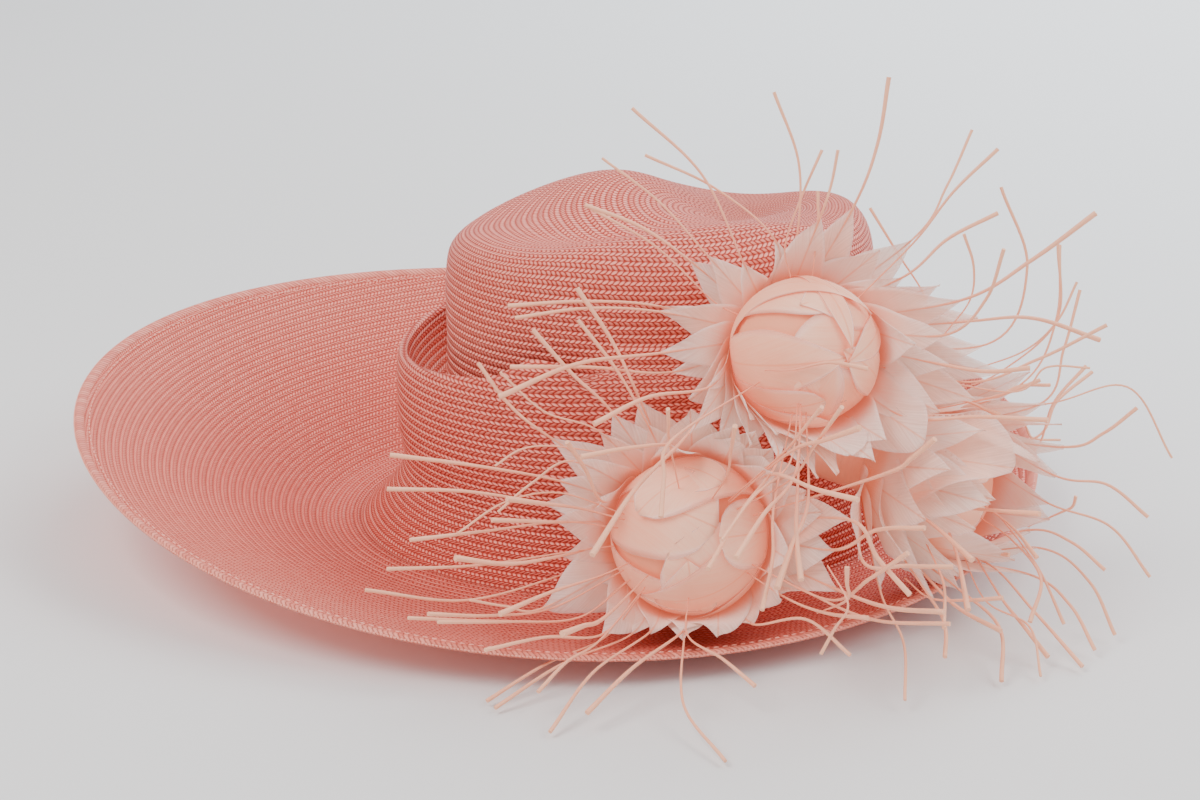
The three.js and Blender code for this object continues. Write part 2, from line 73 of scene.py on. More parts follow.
# Rings of straw from the tip to the edge, in millimetres: half axes, turn, middle and height, the share
# of the crown's dents that a ring takes, its share in the fold and where it lies once the fold has died
# out, how it tilts and bends up round the turn, and its extra height where the fold closes at the left
Ring = namedtuple("Ring", "name half_length half_width yaw right back height relief fold "
                          "open_out open_height rise_right rise_back rise_ends closing",
                  defaults=(0, 0, 0, 0))
STRAW_RINGS = [
    Ring("tip", 0, 0, 15, 32, 18, 159, 1, 0, 0, 159),
    Ring("inner top", 24, 19, 15, 24, 13, 160, 1, 0, 0, 160),
    Ring("top", 56, 46, 15, 11, 6, 161, 1, 0, 0, 161),
    Ring("rim of the top", 88, 71, 15, 2, 1, 158, 1, 0, 0, 158),
    Ring("shoulder", 101.5, 83.5, 15, 0, 0, 149, 0.6, 0, 0, 149),
    Ring("wall", 105.5, 87.5, 15, 0, 0, 130, 0.15, 0, 0, 130),
    Ring("low wall", 105.5, 88, 15, 0, 0, 97, 0, 1, 0.5, 118),
    Ring("crown foot", 107, 89.5, 15, 0, 0, 71, 0, 1, 0.5, 110, 0, 0, 0, 4),
    Ring("gutter", 113, 95.5, 15, -1.5, 0.5, 64, 0, 1, -1.5, 104, 0, 0, 0, 13),
    Ring("inner wall", 119, 100, 15, -3.5, 1, 76, 0, 1, -2.5, 98, 1, -2, -2, 15),
    Ring("collar rim", 121.5, 101.5, 15, -6, 2, 100.5, 0, 1, -3, 91, 3, -5, -5, 15),
    Ring("outside of the rim", 124.5, 104.5, 15, -6, 2, 94, 0, 1, -3.5, 82, 3, -5, -5, 12),
    Ring("collar wall", 124, 104, 14, -6.5, 2, 61, 0, 1, -1, 60, 1, -1, -1, 2),
    Ring("collar foot", 121, 103.5, 11, -8, 3, 30, 0, 0, 0, 30, 1),
    Ring("start of the rest", 136, 115.5, 4, -15, 4, 0, 0, 0, 0, 0),
    Ring("end of the rest", 150, 129, 3, -18, 5, 0, 0, 0, 0, 0),
    Ring("mid brim", 192, 171, 0, -34, 8, 15, 0, 0, 0, 15, -6, 9, 2),
    Ring("brim edge", 237, 214, 0, -51, 10, 41, 0, 0, 0, 41, -14, 21.5, 5),
]
RING_NAMES = [ring.name for ring in STRAW_RINGS]
LAST_PLACE = len(STRAW_RINGS) - 1

# Where the fold between crown and brim is open, as in the solids: middle, half width and blend
FOLD_OPEN_AT, FOLD_OPEN_HALF, FOLD_BLEND = (math.radians(value) for value in (288, 40, 30))

Dent = namedtuple("Dent", "name along across length width rise")
CROWN_RELIEF = [
    Dent("front ridge", 12, -62, 75, 15, 7),
    Dent("pinch behind the ridge", -30, -22, 42, 20, -9),
    Dent("hump at the back left", -12, 40, 36, 28, 8),
    Dent("sloping left end", -80, 30, 42, 45, -7),
    Dent("sunken middle", 42, 6, 34, 26, -9),
    Dent("square right end", 106, 5, 22, 60, 4),
    Dent("saddle at the back right", 50, 50, 36, 36, -12),
]

# Hem: a folded strip round the brim's edge, wrapped with strands and held by a row of stitches
HEM_WIDTH = 4.0
HEM_THICKNESS = 2.8
HEM_OVERHANG, HEM_GRIP = 0.3, 1.2
STITCH_INSET = 7.2
STITCH_LENGTH = 2.6
STITCH_SPACING = 4.2
WRAP_SPACING = 1.6
LEAN_JITTER = 0.12

Flower = namedtuple("Flower", "name centre faces radius depth stem seed")
FLOWERS = [
    Flower("top", Vector((62, -126, 128.5)), Vector((0.25, -0.93, 0.12)), 34, 33, 14, 11),
    Flower("front", Vector((10, -152, 50)), Vector((-0.08, -0.95, 0.3)), 36, 33, 5, 23),
    Flower("side", Vector((124, -108, 58)), Vector((0.9, -0.42, -0.08)), 33, 30, 26, 37),
]

# Feathers by flower. The photograph's pixels say where the quill's cut end shows (end_u, end_v) and
# where its petal comes to a point (point_u, point_v); depth is how far back the cut end lies, in
# millimetres behind the crown's centre line. Width is the petal's, and 0 leaves a bare quill. Thick
# scales the quill, bow moves its middle to the right as one looks along it, and blunt rounds the petal.
# A row of four or five is a petal whose quill is cut at its point: point_u, point_v, depth, width, blunt.
Feather = namedtuple("Feather", "end_u end_v depth point_u point_v width thick bow blunt",
                     defaults=(0, False))
FEATHERS = {
    "top": [
        (508, 306, -112, 657, 306, 10, 1.15, 2), (515, 318, -128, 661, 312, 21, 1.0, 3),
        (510, 367, -138, 672, 372, 17, 1.2, 1), (499, 397, -165, 661, 353, 21, 1.5, 5), (690, 400, -150, 27),
        (722, 432, -158, 29), (594, 424, -185, 707, 388, 15, 1.4, 4), (585, 205, -98, 689, 260, 21, 1.1, 3),
        (590, 208, -84, 712, 300, 0, 0.8, 4), (602, 158, -92, 708, 256, 22, 0.7, 3),
        (632, 108, -92, 743, 262, 18, 0.9, 8), (645, 155, -95, 776, 242, 18, 0.8, 5),
        (774, 92, -95, 797, 238, 16, 0.9, 6), (822, 150, -98, 785, 246, 0, 0.8, -1),
        (838, 150, -120, 820, 218, 22, 0.8, 1), (818, 191, -104, 818, 222, 0, 0.8),
        (889, 77, -100, 853, 208, 25, 1.2, 3), (880, 250, -112, 30), (972, 130, -70, 914, 238, 26, 0.8, 2),
        (998, 149, -95, 916, 240, 0, 1.0, -2), (998, 213, -112, 905, 276, 20, 1.1, -3),
        (870, 208, -84, 925, 298, 0, 0.8), (940, 285, -118, 31), (1096, 213, -140, 962, 300, 28, 1.35, 2),
        (1001, 187, -60, 985, 345, 25, 0.9, 16), (1058, 244, -80, 1000, 372, 0, 0.8, 14),
        (1004, 249, -150, 945, 335, 28, 1.0, 6), (964, 234, -120, 970, 300, 0, 0.8, 3),
        (1100, 340, -100, 960, 322, 29, 1.3, -6), (1107, 325, -128, 962, 382, 32, 1.0, 3),
        (1077, 282, -92, 1022, 352, 0, 0.7, 4), (1090, 368, -110, 1010, 392, 0, 0.6, -6),
        (1048, 420, -176, 908, 418, 18, 1.3, -1), (1030, 368, -150, 950, 366, 26, 1.3, 2),
        (915, 345, -150, 30), (940, 412, -160, 32), (1000, 372, -118, 30), (752, 420, -164, 22),
        (778, 434, -170, 22), (802, 464, -180, 24), (838, 474, -184, 24), (978, 318, -108, 27),
        (975, 400, -140, 30), (925, 440, -168, 30, True), (885, 440, -178, 29), (850, 455, -178, 32, True),
        (812, 448, -180, 30), (868, 369, -165, 792, 370, 0, 1.2, -3), (592, 555, -240, 688, 434, 20, 1.5, 3),
        (661, 517, -226, 672, 440, 0, 1.3, 1), (708, 569, -250, 778, 457, 20, 1.2, 1),
        (736, 558, -252, 795, 474, 0, 1.5, 1), (722, 540, -246, 790, 462, 0, 0.9, 2),
        (762, 610, -240, 774, 505, 0, 1.1, -2), (777, 588, -236, 808, 500, 0, 1.6),
        (801, 580, -232, 797, 500, 0, 1.5, 1), (750, 446, -170, 29), (875, 462, -186, 23),
        (818, 478, -190, 23),
    ],
    "front": [
        (533, 330, -135, 612, 412, 29, 1.2, -1), (577, 288, -125, 640, 400, 32, 1.2, 2),
        (578, 320, -132, 648, 425, 27, 1.0, 2), (690, 410, -160, 34), (735, 425, -168, 33),
        (772, 448, -176, 31), (478, 363, -130, 551, 438, 27, 1.0, -3), (500, 372, -132, 600, 432, 24, 0.6, -5),
        (390, 455, -165, 560, 481, 29, 1.2, 1), (387, 489, -180, 545, 503, 28, 1.1, 2),
        (492, 520, -196, 556, 522, 26, 1.2), (498, 512, -192, 572, 461, 18, 0.7, 2),
        (495, 466, -172, 551, 446, 0, 0.6, 3), (458, 533, -198, 560, 493, 0, 0.6, 5),
        (507, 499, -196, 578, 508, 0, 1.5), (410, 540, -205, 562, 522, 0, 1.1),
        (455, 558, -206, 560, 556, 18, 1.5, -3), (387, 569, -200, 562, 553, 0, 1.0, -2),
        (365, 590, -185, 562, 575, 30, 1.0, -8), (470, 600, -212, 543, 608, 36, 0.6, -1),
        (408, 618, -218, 575, 619, 0, 0.9, -1), (438, 622, -226, 580, 617, 0, 1.0, -1),
        (428, 614, -220, 552, 608, 0, 1.1, -2), (500, 614, -228, 600, 576, 0, 1.4, 1),
        (562, 634, -236, 604, 618, 0, 1.6), (485, 650, -240, 603, 634, 30, 1.0, 2),
        (487, 720, -225, 606, 637, 0, 1.0, 2), (495, 715, -232, 632, 634, 26, 1.0, 3),
        (538, 692, -236, 600, 640, 0, 1.0, 2), (550, 748, -255, 650, 632, 26, 1.0, 5),
        (587, 713, -250, 682, 632, 24, 1.3, 2), (725, 785, -282, 684, 640, 22, 0.9, 9), (718, 636, -212, 33),
        (755, 686, -235, 688, 636, 0, 1.1, -1), (850, 655, -225, 752, 624, 27, 1.0, -9),
        (821, 654, -240, 848, 604, 0, 0.9), (567, 442, -190, 600, 500, 27, 1.2, 1),
        (581, 457, -196, 668, 445, 24, 1.3, 1), (668, 409, -200, 669, 440, 0, 1.0),
        (735, 426, -212, 727, 475, 0, 1.2), (842, 407, -226, 790, 480, 0, 1.1),
        (860, 428, -230, 790, 452, 0, 1.4), (822, 407, -220, 784, 452, 0, 1.0),
        (935, 439, -214, 885, 474, 0, 1.3, 1), (858, 500, -236, 775, 474, 26, 1.4, 1),
        (847, 567, -216, 847, 600, 0, 1.2), (944, 612, -222, 838, 590, 36, 1.4, 3),
        (868, 618, -222, 790, 600, 0, 1.2, 2), (950, 624, -222, 800, 588, 29, 1.1, 6),
        (925, 528, -216, 834, 550, 33, 1.2, -4), (908, 553, -226, 830, 600, 0, 1.2, 1),
        (910, 595, -226, 850, 520, 26, 1.3, 1), (822, 512, -186, 33), (800, 470, -180, 31),
        (705, 416, -150, 26), (756, 432, -166, 26), (735, 438, -172, 26), (770, 464, -180, 28),
        (806, 492, -186, 28), (790, 560, -196, 33), (780, 598, -204, 30),
    ],
    "side": [
        (1030, 372, -70, 28), (1062, 424, -92, 28), (1040, 462, -130, 30),
        (1137, 408, -90, 1064, 447, 30, 1.1, 3), (1172, 458, -110, 1046, 404, 28, 0.6, -22),
        (1148, 517, -125, 1056, 476, 36, 1.0, -6), (1150, 577, -140, 1050, 504, 36, 0.9, -8),
        (1115, 635, -160, 1040, 548, 33, 1.0, -7), (1105, 570, -150, 1030, 530, 32, 1.0, -4),
        (1095, 650, -175, 1028, 574, 32, 1.0, -5), (1082, 676, -190, 985, 562, 33, 1.1, -1),
        (1064, 624, -166, 1000, 517, 0, 0.9, -3), (1037, 558, -160, 985, 506, 0, 1.2, -2),
        (1030, 622, -180, 1012, 540, 0, 1.2, -9), (1040, 690, -200, 985, 600, 0, 0.7, -9),
        (1001, 693, -205, 960, 590, 30, 1.2, -9), (1048, 657, -186, 1000, 596, 0, 1.3),
        (1001, 631, -190, 925, 575, 33, 1.3, 3), (1003, 598, -190, 930, 598, 0, 1.2, 1),
        (968, 610, -200, 938, 505, 0, 1.5, -2), (945, 657, -215, 932, 600, 26, 1.1, -3),
        (944, 628, -216, 925, 540, 0, 1.0, -4), (972, 560, -196, 900, 500, 0, 1.5, -1),
        (1040, 514, -180, 936, 506, 0, 1.4), (953, 567, -196, 862, 560, 27, 1.2, 1),
        (1009, 555, -150, 985, 552, 0, 1.2), (1076, 496, -120, 1062, 512, 0, 0.9, 2),
        (1080, 290, -60, 1040, 404, 28, 0.9, 2), (1060, 245, -40, 1020, 385, 29, 0.8, 8),
        (1092, 372, -30, 1030, 440, 28, 1.0, -3), (1086, 366, -50, 1035, 450, 0, 1.0, -4),
        (1050, 385, -70, 990, 400, 30, 1.0, -3), (1040, 380, -90, 972, 402, 30, 1.1, 1),
        (1000, 415, -110, 968, 402, 0, 1.2), (905, 700, -230, 880, 590, 24, 0.8, -5),
        (1060, 440, -40, 1010, 420, 30, 0.7, 4), (1050, 520, -120, 39), (1015, 560, -150, 36),
        (960, 575, -168, 36), (905, 560, -172, 34), (975, 530, -172, 41), (985, 430, -150, 30),
        (995, 500, -165, 41), (1014, 468, -160, 49, True), (990, 504, -176, 36), (950, 470, -182, 28),
        (925, 520, -182, 33),
    ],
}

# Petals wrapped on each ball, undermost first: where the root and the tip show, in pixels, how wide
# the petal is, how far the tip stands off the ball, and whether the tip is blunt
Wrap = namedtuple("Wrap", "root_u root_v tip_u tip_v width lift blunt", defaults=(False,))
WRAPS = {
    "top": [
        (905, 330, 790, 372, 46, 0.3, True), (775, 445, 812, 345, 44, 0.3, True),
        (870, 440, 800, 380, 38, 0.4, True), (880, 300, 800, 306, 34, 0.5),
        (742, 300, 838, 306, 32, 0.5, True), (722, 360, 846, 358, 32, 0.4),
        (738, 414, 828, 418, 24, 1.5, True), (728, 392, 824, 398, 22, 1.7, True),
        (726, 330, 868, 316, 19, 1.6), (905, 392, 842, 350, 22, 0.8), (892, 318, 846, 362, 15, 1.3),
        (818, 282, 850, 350, 11, 1.6),
    ],
    "front": [
        (770, 600, 672, 548, 50, 0.2, True), (606, 500, 716, 528, 48, 0.3, True),
        (604, 566, 716, 600, 34, 0.3, True), (700, 640, 688, 560, 36, 0.4), (766, 506, 640, 592, 38, 0.6),
        (628, 470, 722, 484, 34, 0.6, True), (762, 462, 640, 514, 34, 1.5, True),
        (790, 528, 718, 538, 32, 1.3, True), (776, 558, 686, 628, 22, 1.5),
    ],
    "side": [
        (880, 440, 985, 440, 46, 0.3, True), (870, 490, 985, 500, 44, 0.5, True),
        (900, 400, 985, 470, 40, 0.6), (870, 460, 992, 470, 34, 1.0, True),
    ],
}

PETAL_THICKNESS = 0.3
LEAF_END_WIDTH = 0.3
PETAL_STEPS, PETAL_COLUMNS = 26, 13
PETAL_OFF_BALL = 20.0
WRAP_COLUMNS = 17
WRAP_TUCK = math.radians(38)
WRAP_START, WRAP_STEP, CORE_INSET = 1.4, 0.16, 2.2
CURVE_STEPS = 16
QUILL_STEPS = 48
QUILL_START_RADIUS = 0.32
QUILL_END_RADIUS = 0.95
BALL_CLEARANCE = 0.5
FEATHERS_START = math.radians(172)
FEATHERS_LEAVE = math.radians(158)
LOWEST_QUILL = 3.0
PETAL_ROW = 5  # the most values in a row that is a petal alone


# Small helpers

def in_row_frame(points):
    """Millimetres about the crown's centre line to metres in the row's frame"""
    return (np.asarray(points, float) - np.array(FOOTPRINT_CENTRE)) * MM


def smoothstep(value):
    value = np.clip(value, 0.0, 1.0)
    return value * value * (3 - 2 * value)


def smooth_curve(before, start, end, after, part):
    """The part of the way from start to end, on a curve that heads as the places around them lie"""
    cube, square = part ** 3, part ** 2
    return ((2 * cube - 3 * square + 1) * start + (cube - 2 * square + part) * (end - before) / 2
            + (3 * square - 2 * cube) * end + (cube - square) * (after - start) / 2)


def link(obj):
    bpy.context.scene.collection.objects.link(obj)
    return obj


def make_mesh(name, points, faces, uv=None, values=None):
    """A smooth mesh of points in millimetres, with a UV pair for each corner and values for each point"""
    mesh = bpy.data.meshes.new(name)
    mesh.from_pydata(in_row_frame(points).tolist(), [], faces)
    if uv is not None:
        layer = mesh.uv_layers.new(name="Pattern")
        layer.data.foreach_set("uv", np.asarray(uv, np.float32).ravel())
    for key, numbers in (values or {}).items():
        attribute = mesh.attributes.new(key, "FLOAT", "POINT")
        attribute.data.foreach_set("value", np.asarray(numbers, np.float32))
    mesh.shade_smooth()
    mesh.validate()
    return link(bpy.data.objects.new(name, mesh))


def tube_faces(rows, columns):
    """The faces between rows of points, each row closed into a ring"""
    return [[row * columns + column, (row + 1) * columns + column,
             (row + 1) * columns + (column + 1) % columns, row * columns + (column + 1) % columns]
            for row in range(rows - 1) for column in range(columns)]


def wear(piece, slot, finish, *nodes):
    """Every piece moves with the hat, takes its finish and stands for CAD nodes; slot is not used"""
    if finish:
        piece.data.materials.append(finish)
    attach(piece, "root")
    if nodes:
        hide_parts(*nodes)
    return piece


# Straw surface

def ring_values(place):
    """Every numbered column of the ring table at each place, on a smooth curve through the rows"""
    rows = np.array([ring[1:] for ring in STRAW_RINGS], float)
    lower = np.minimum(np.floor(place).astype(int), LAST_PLACE - 1)
    around = (rows[np.clip(lower + step, 0, LAST_PLACE)] for step in (-1, 0, 1, 2))
    return Ring("", *np.moveaxis(smooth_curve(*around, (place - lower)[..., None]), -1, 0))


def openness(angle):
    """How far the fold is open: 0 where the collar stands free, 1 where it has died out"""
    turned = angle - FOLD_OPEN_AT
    away = np.abs(np.arctan2(np.sin(turned), np.cos(turned)))
    return 1 - smoothstep((away - FOLD_OPEN_HALF) / FOLD_BLEND)


def relief_at(along, across):
    lift = 0.0
    for dent in CROWN_RELIEF:
        far = ((along - dent.along) / dent.length) ** 2 + ((across - dent.across) / dent.width) ** 2
        lift = lift + dent.rise * np.exp(-far)
    return lift


def straw_points(place, angle):
    """Points in the middle of the straw, held above the surface that the hat lies on"""
    ring = ring_values(place)
    yaw = np.radians(ring.yaw)
    opened = openness(angle) * ring.fold
    at_the_left = np.sin(angle - FOLD_OPEN_AT) < 0
    along = (ring.half_length + opened * ring.open_out) * np.cos(angle)
    across = (ring.half_width + opened * ring.open_out) * np.sin(angle)
    x = ring.right + along * np.cos(yaw) - across * np.sin(yaw)
    y = ring.back + along * np.sin(yaw) + across * np.cos(yaw)
    rise = (ring.rise_right * np.cos(angle) + ring.rise_back * np.sin(angle)
            + ring.rise_ends * np.cos(2 * angle))
    height = ring.height + rise + opened * (ring.open_height - ring.height - rise)
    height = height + 4 * opened * (1 - opened) * at_the_left * ring.closing  # most where half open
    turn = math.radians(CROWN_YAW)
    height = height + np.maximum(ring.relief, 0) * relief_at(
        x * math.cos(turn) + y * math.sin(turn), y * math.cos(turn) - x * math.sin(turn))
    return np.stack([x, y, np.maximum(height, STRAW_THICKNESS / 2)], -1)


def straw_normals(place, angle):
    """Directions square to the straw, outwards, from points a little to each side"""
    step = 0.02
    before = np.maximum(place - step, step / 4)
    after = np.minimum(place + step, LAST_PLACE)
    middle = (before + after) / 2
    along = straw_points(before, angle) - straw_points(after, angle)
    around = straw_points(middle, angle + step) - straw_points(middle, angle - step)
    normal = np.cross(around, along)
    return normal / np.linalg.norm(normal, axis=-1, keepdims=True)


def named_place(name, past=0.0):
    """The place of a ring, or a part of the way past it to the next"""
    return RING_NAMES.index(name) + past


def straw_places():
    """Places from near the tip to the edge, evenly spaced along the straw and closer in the fold"""
    fine = np.linspace(0, LAST_PLACE, 1800)
    points = straw_points(fine[:, None], np.array([[math.radians(FREE_COLLAR_AT)]]))[:, 0]
    in_fold = (fine > named_place("crown foot")) & (fine < named_place("collar wall"))
    spacing = np.where(in_fold, FOLD_SPACING, RING_SPACING)
    steps = np.linalg.norm(np.diff(points, axis=0), axis=1) / spacing[1:]
    passed = np.concatenate([[0], np.cumsum(steps)])
    count = math.ceil(passed[-1])
    return np.interp(np.arange(1, count + 1) * passed[-1] / count, passed, fine)


def weave_rows(places, points):
    """The row of weave that each point lies in, and the strokes in a turn of that row.
    From the tip to the crown's wall, and from the collar's foot to where the brim rests, rows follow
    the rings. Between those, and out over the brim, a row is as high at every angle."""
    steps = np.linalg.norm(np.diff(points, axis=0, prepend=points[:1]), axis=2) / ROW_HEIGHT
    wall, gutter = named_place("wall"), named_place("gutter")
    foot, rest = named_place("collar foot"), named_place("start of the rest")
    follows = (places <= wall) | ((places > foot) & (places <= rest))
    steps[follows] = steps[follows].mean(axis=1, keepdims=True)
    rows = np.cumsum(steps, axis=0)
    foot_row = int(np.searchsorted(places, foot))
    rows -= np.where((places >= gutter)[:, None], rows[foot_row] - np.round(rows[foot_row].mean()), 0)
    around = np.linalg.norm(np.roll(points, -1, axis=1) - points, axis=2).sum(axis=1)
    strokes = np.repeat(around[:, None] / STROKE_SPACING, points.shape[1], axis=1)
    walls = (places > wall) & (places <= foot)
    strokes[walls] = strokes[int(np.searchsorted(places, wall))].mean()
    rest_row = int(np.searchsorted(places, rest))
    row_turn = 2 * math.pi * ROW_HEIGHT / STROKE_SPACING
    strokes[rest_row:] = strokes[rest_row].mean() + (rows[rest_row:] - rows[rest_row]) * row_turn
    gain = np.gradient(strokes, axis=0) / np.maximum(np.gradient(rows, axis=0), 0.05)
    return rows, strokes, np.where((places > foot)[:, None], row_turn, np.clip(gain, -row_turn, row_turn))


def build_straw():
    """The whole run of straw as one closed wall, from the crown's tip to the brim's edge"""
    places = straw_places()
    angles = np.arange(STRAW_COLUMNS) / STRAW_COLUMNS * 2 * math.pi
    middle = straw_points(places[:, None], angles[None, :])
    normals = straw_normals(places[:, None], angles[None, :])
    rows, strokes, gain = weave_rows(places, middle)
    tip_point = straw_points(np.array(0.0), np.array(0.0))
    tip_normal = straw_normals(np.array(0.1), angles).mean(axis=0)
    tip_normal /= np.linalg.norm(tip_normal)
    count, columns = len(places), STRAW_COLUMNS
    points = []
    for side in (0.5, -0.5):
        wall = middle + normals * side * STRAW_THICKNESS
        wall[..., 2] = np.maximum(wall[..., 2], 0)
        points += [wall.reshape(-1, 3), (tip_point + tip_normal * side * STRAW_THICKNESS)[None]]
    size = count * columns + 1
    column = np.arange(columns)
    following = (column + 1) % columns
    turn_here, turn_next = column / columns, (column + 1) / columns
    turns = np.stack([turn_next, turn_here, turn_here, turn_next], 1)
    here = np.arange(count * columns).reshape(count, columns)
    beside = np.roll(here, -1, axis=1)
    quads = np.stack([beside[:-1], here[:-1], here[1:], beside[1:]], 2).reshape(-1, 4)
    split = int(np.searchsorted(places, named_place("gutter")))
    tops = rows[:-1].copy()
    tops[split - 1] = 2 * rows[split] - rows[split + 1]
    heights = np.stack([tops[:, following], tops, rows[1:], rows[1:, following]], 2)
    quads_uv = np.stack([np.broadcast_to(turns, heights.shape), heights], 3).reshape(-1, 4, 2)
    rim = np.stack([beside[-1], here[-1], size + here[-1], size + beside[-1]], 1)
    rim_uv = np.stack([turns, np.repeat(rows[-1][:, None], 4, axis=1)], 2)
    tip = np.stack([column, following, np.full(columns, size - 1)], 1)
    tip_uv = np.stack([np.stack([turn_here, turn_next, (turn_here + turn_next) / 2], 1),
                       np.stack([rows[0], rows[0][following], np.zeros(columns)], 1)], 2)
    back_quad, back_tip = [1, 0, 3, 2], [1, 0, 2]
    faces = [quads, size + quads[:, back_quad], rim, tip, size + tip[:, back_tip]]
    uv = np.concatenate([part.reshape(-1, 2) for part in
                         (quads_uv, quads_uv[:, back_quad], rim_uv, tip_uv, tip_uv[:, back_tip])])
    # Painted shade: a share for each point, highest close to a flower's ball, by which the straw is darkened
    painted_shade_under_flowers = np.max([1 - (np.linalg.norm(middle - np.array(flower.centre), axis=2) - flower.radius)
                        / PAINTED_SHADE_REACH for flower in FLOWERS], axis=0).clip(0, 1)
    # Painted glow: the brim's underside gives off light, most at the left, in place of light coming through the
    # straw
    glow = 0.2 + 0.8 * smoothstep((0.2 - np.cos(angles)) / 1.2)
    underside_painted_glow = np.concatenate([np.zeros(size), np.repeat(glow[None], count, 0).ravel(), [0.0]])

    def both(grid, at_tip=0.0):
        """A value for each point of both sheets, whether it changes by row, by column or by both"""
        return np.tile(np.append(np.broadcast_to(grid, middle.shape[:2]).ravel(), at_tip), 2)

    return make_mesh("straw", np.concatenate(points), [face for part in faces for face in part.tolist()],
                     uv=uv, values={"strokes": both(strokes, strokes[0, 0]), "gain": both(gain),
                                        "place": both(places[:, None]), "folded": both(1 - openness(angles)),
                                        "painted_shade_under_flowers": both(painted_shade_under_flowers), "underside_painted_glow": underside_painted_glow})


# Hem

def edge_frames(columns):
    """Points of the brim's edge with the directions outwards and square to the straw"""
    angles = np.arange(columns) / columns * 2 * math.pi
    place = np.full(columns, float(LAST_PLACE))
    edge = straw_points(place, angles)
    outward = edge - straw_points(place - 0.1, angles)
    outward /= np.linalg.norm(outward, axis=1, keepdims=True)
    return edge, outward, straw_normals(place, angles)


def build_hem():
    """The folded strip, with a rounded outer side, from a little inside the edge"""
    columns, corners = 480, 12
    edge, outward, square = edge_frames(columns)
    turn = np.arange(corners) / corners * 2 * math.pi
    reach = (HEM_WIDTH + HEM_OVERHANG + HEM_GRIP) / 2
    out = reach * np.sign(np.cos(turn)) * np.abs(np.cos(turn)) ** 0.7 + reach - HEM_GRIP
    up = HEM_THICKNESS / 2 * np.sign(np.sin(turn)) * np.abs(np.sin(turn)) ** 0.7
    points = (edge[:, None] + outward[:, None] * out[None, :, None] + square[:, None] * up[None, :, None])
    faces, uv = [], []
    for column in range(columns):
        for corner in range(corners):
            nxt, beside = (column + 1) % columns, (corner + 1) % corners
            faces.append([column * corners + corner, column * corners + beside,
                          nxt * corners + beside, nxt * corners + corner])
            low, high = corner / corners, (corner + 1) / corners
            left, right = column / columns, (column + 1) / columns
            uv += [(left, low), (left, high), (right, high), (right, low)]
    return make_mesh("hem", points.reshape(-1, 3), faces, uv=uv)


# Nodes: numbers that arithmetic can be written with, and a builder for both kinds of tree

def maths_method(operation, turned=False):
    """A method that adds one maths node, with its two numbers turned round if the field comes second"""
    def method(self, *others):
        numbers = (self, *others)
        return self.owner.maths(operation, *(reversed(numbers) if turned else numbers))
    return method


class Field:
    """A number that varies over a piece: arithmetic with it adds nodes to its tree"""

    def __init__(self, owner, socket):
        self.owner, self.socket = owner, socket

    __add__, __radd__ = maths_method("ADD"), maths_method("ADD", True)
    __sub__, __rsub__ = maths_method("SUBTRACT"), maths_method("SUBTRACT", True)
    __mul__, __rmul__ = maths_method("MULTIPLY"), maths_method("MULTIPLY", True)
    __truediv__, __pow__ = maths_method("DIVIDE"), maths_method("POWER")
    floor, fract = maths_method("FLOOR"), maths_method("FRACT")
    abs, sqrt = maths_method("ABSOLUTE"), maths_method("SQRT")

    def clamped(self):
        return self.owner.maths("MINIMUM", self.owner.maths("MAXIMUM", self, 0.0), 1.0)

    def between(self, low, high):
        """0 below low and 1 above high, smooth in between"""
        made = self.owner.node("ShaderNodeMapRange", {"interpolation_type": "SMOOTHSTEP"},
                               {"Value": self, "From Min": low, "From Max": high})
        return Field(self.owner, made.outputs["Result"])


class NodeBuilder:
    """Adds nodes by type, and feeds their inputs with numbers, sockets and fields"""

    def node(self, kind, settings=None, inputs=None, **named):
        made = self.tree.nodes.new(kind)
        for key, value in (settings or {}).items():
            setattr(made, key, value)
        for key, value in {**(inputs or {}), **named}.items():
            self.feed(made.inputs[key.replace("_", " ") if key in named else key], value)
        return made

    def feed(self, socket, value):
        if isinstance(value, Field):
            value = value.socket
        if isinstance(value, bpy.types.NodeSocket):
            self.tree.links.new(value, socket)
        else:
            socket.default_value = value

    def maths(self, operation, *values):
        return Field(self, self.node("ShaderNodeMath", {"operation": operation}, dict(enumerate(values))).outputs[0])


# Geometry Nodes: the two trees that follow a path

class GeometryTree(NodeBuilder):
    """A geometry node tree with named sizes, which leaves a plain mesh"""

    def __init__(self, name):
        self.tree = bpy.data.node_groups.new(name, "GeometryNodeTree")
        for way in ("INPUT", "OUTPUT"):
            self.tree.interface.new_socket("Geometry", in_out=way, socket_type="NodeSocketGeometry")
        self.start = self.tree.nodes.new("NodeGroupInput")
        self.identifiers = {}

    def size(self, name, value, kind="NodeSocketFloat"):
        """A named input of the tree"""
        socket = self.tree.interface.new_socket(name, in_out="INPUT", socket_type=kind)
        socket.default_value = value
        self.identifiers[name] = socket.identifier
        return Field(self, self.start.outputs[name])

    def close(self, geometry, material):
        real = self.node("GeometryNodeRealizeInstances", Geometry=geometry).outputs[0]
        painted = self.node("GeometryNodeSetMaterial", Geometry=real, Material=material).outputs[0]
        self.node("NodeGroupOutput", None, {0: painted})

    def run(self, source, name, sizes):
        """Runs the tree on an object and gives its result as a plain mesh object"""
        modifier = source.modifiers.new("Build", "NODES")
        modifier.node_group = self.tree
        for key, value in sizes.items():
            modifier[self.identifiers[key]] = value
        graph = bpy.context.evaluated_depsgraph_get()
        mesh = bpy.data.meshes.new_from_object(source.evaluated_get(graph), depsgraph=graph)
        source.modifiers.remove(modifier)
        bpy.data.objects.remove(source)
        mesh.name = name
        return link(bpy.data.objects.new(name, mesh))


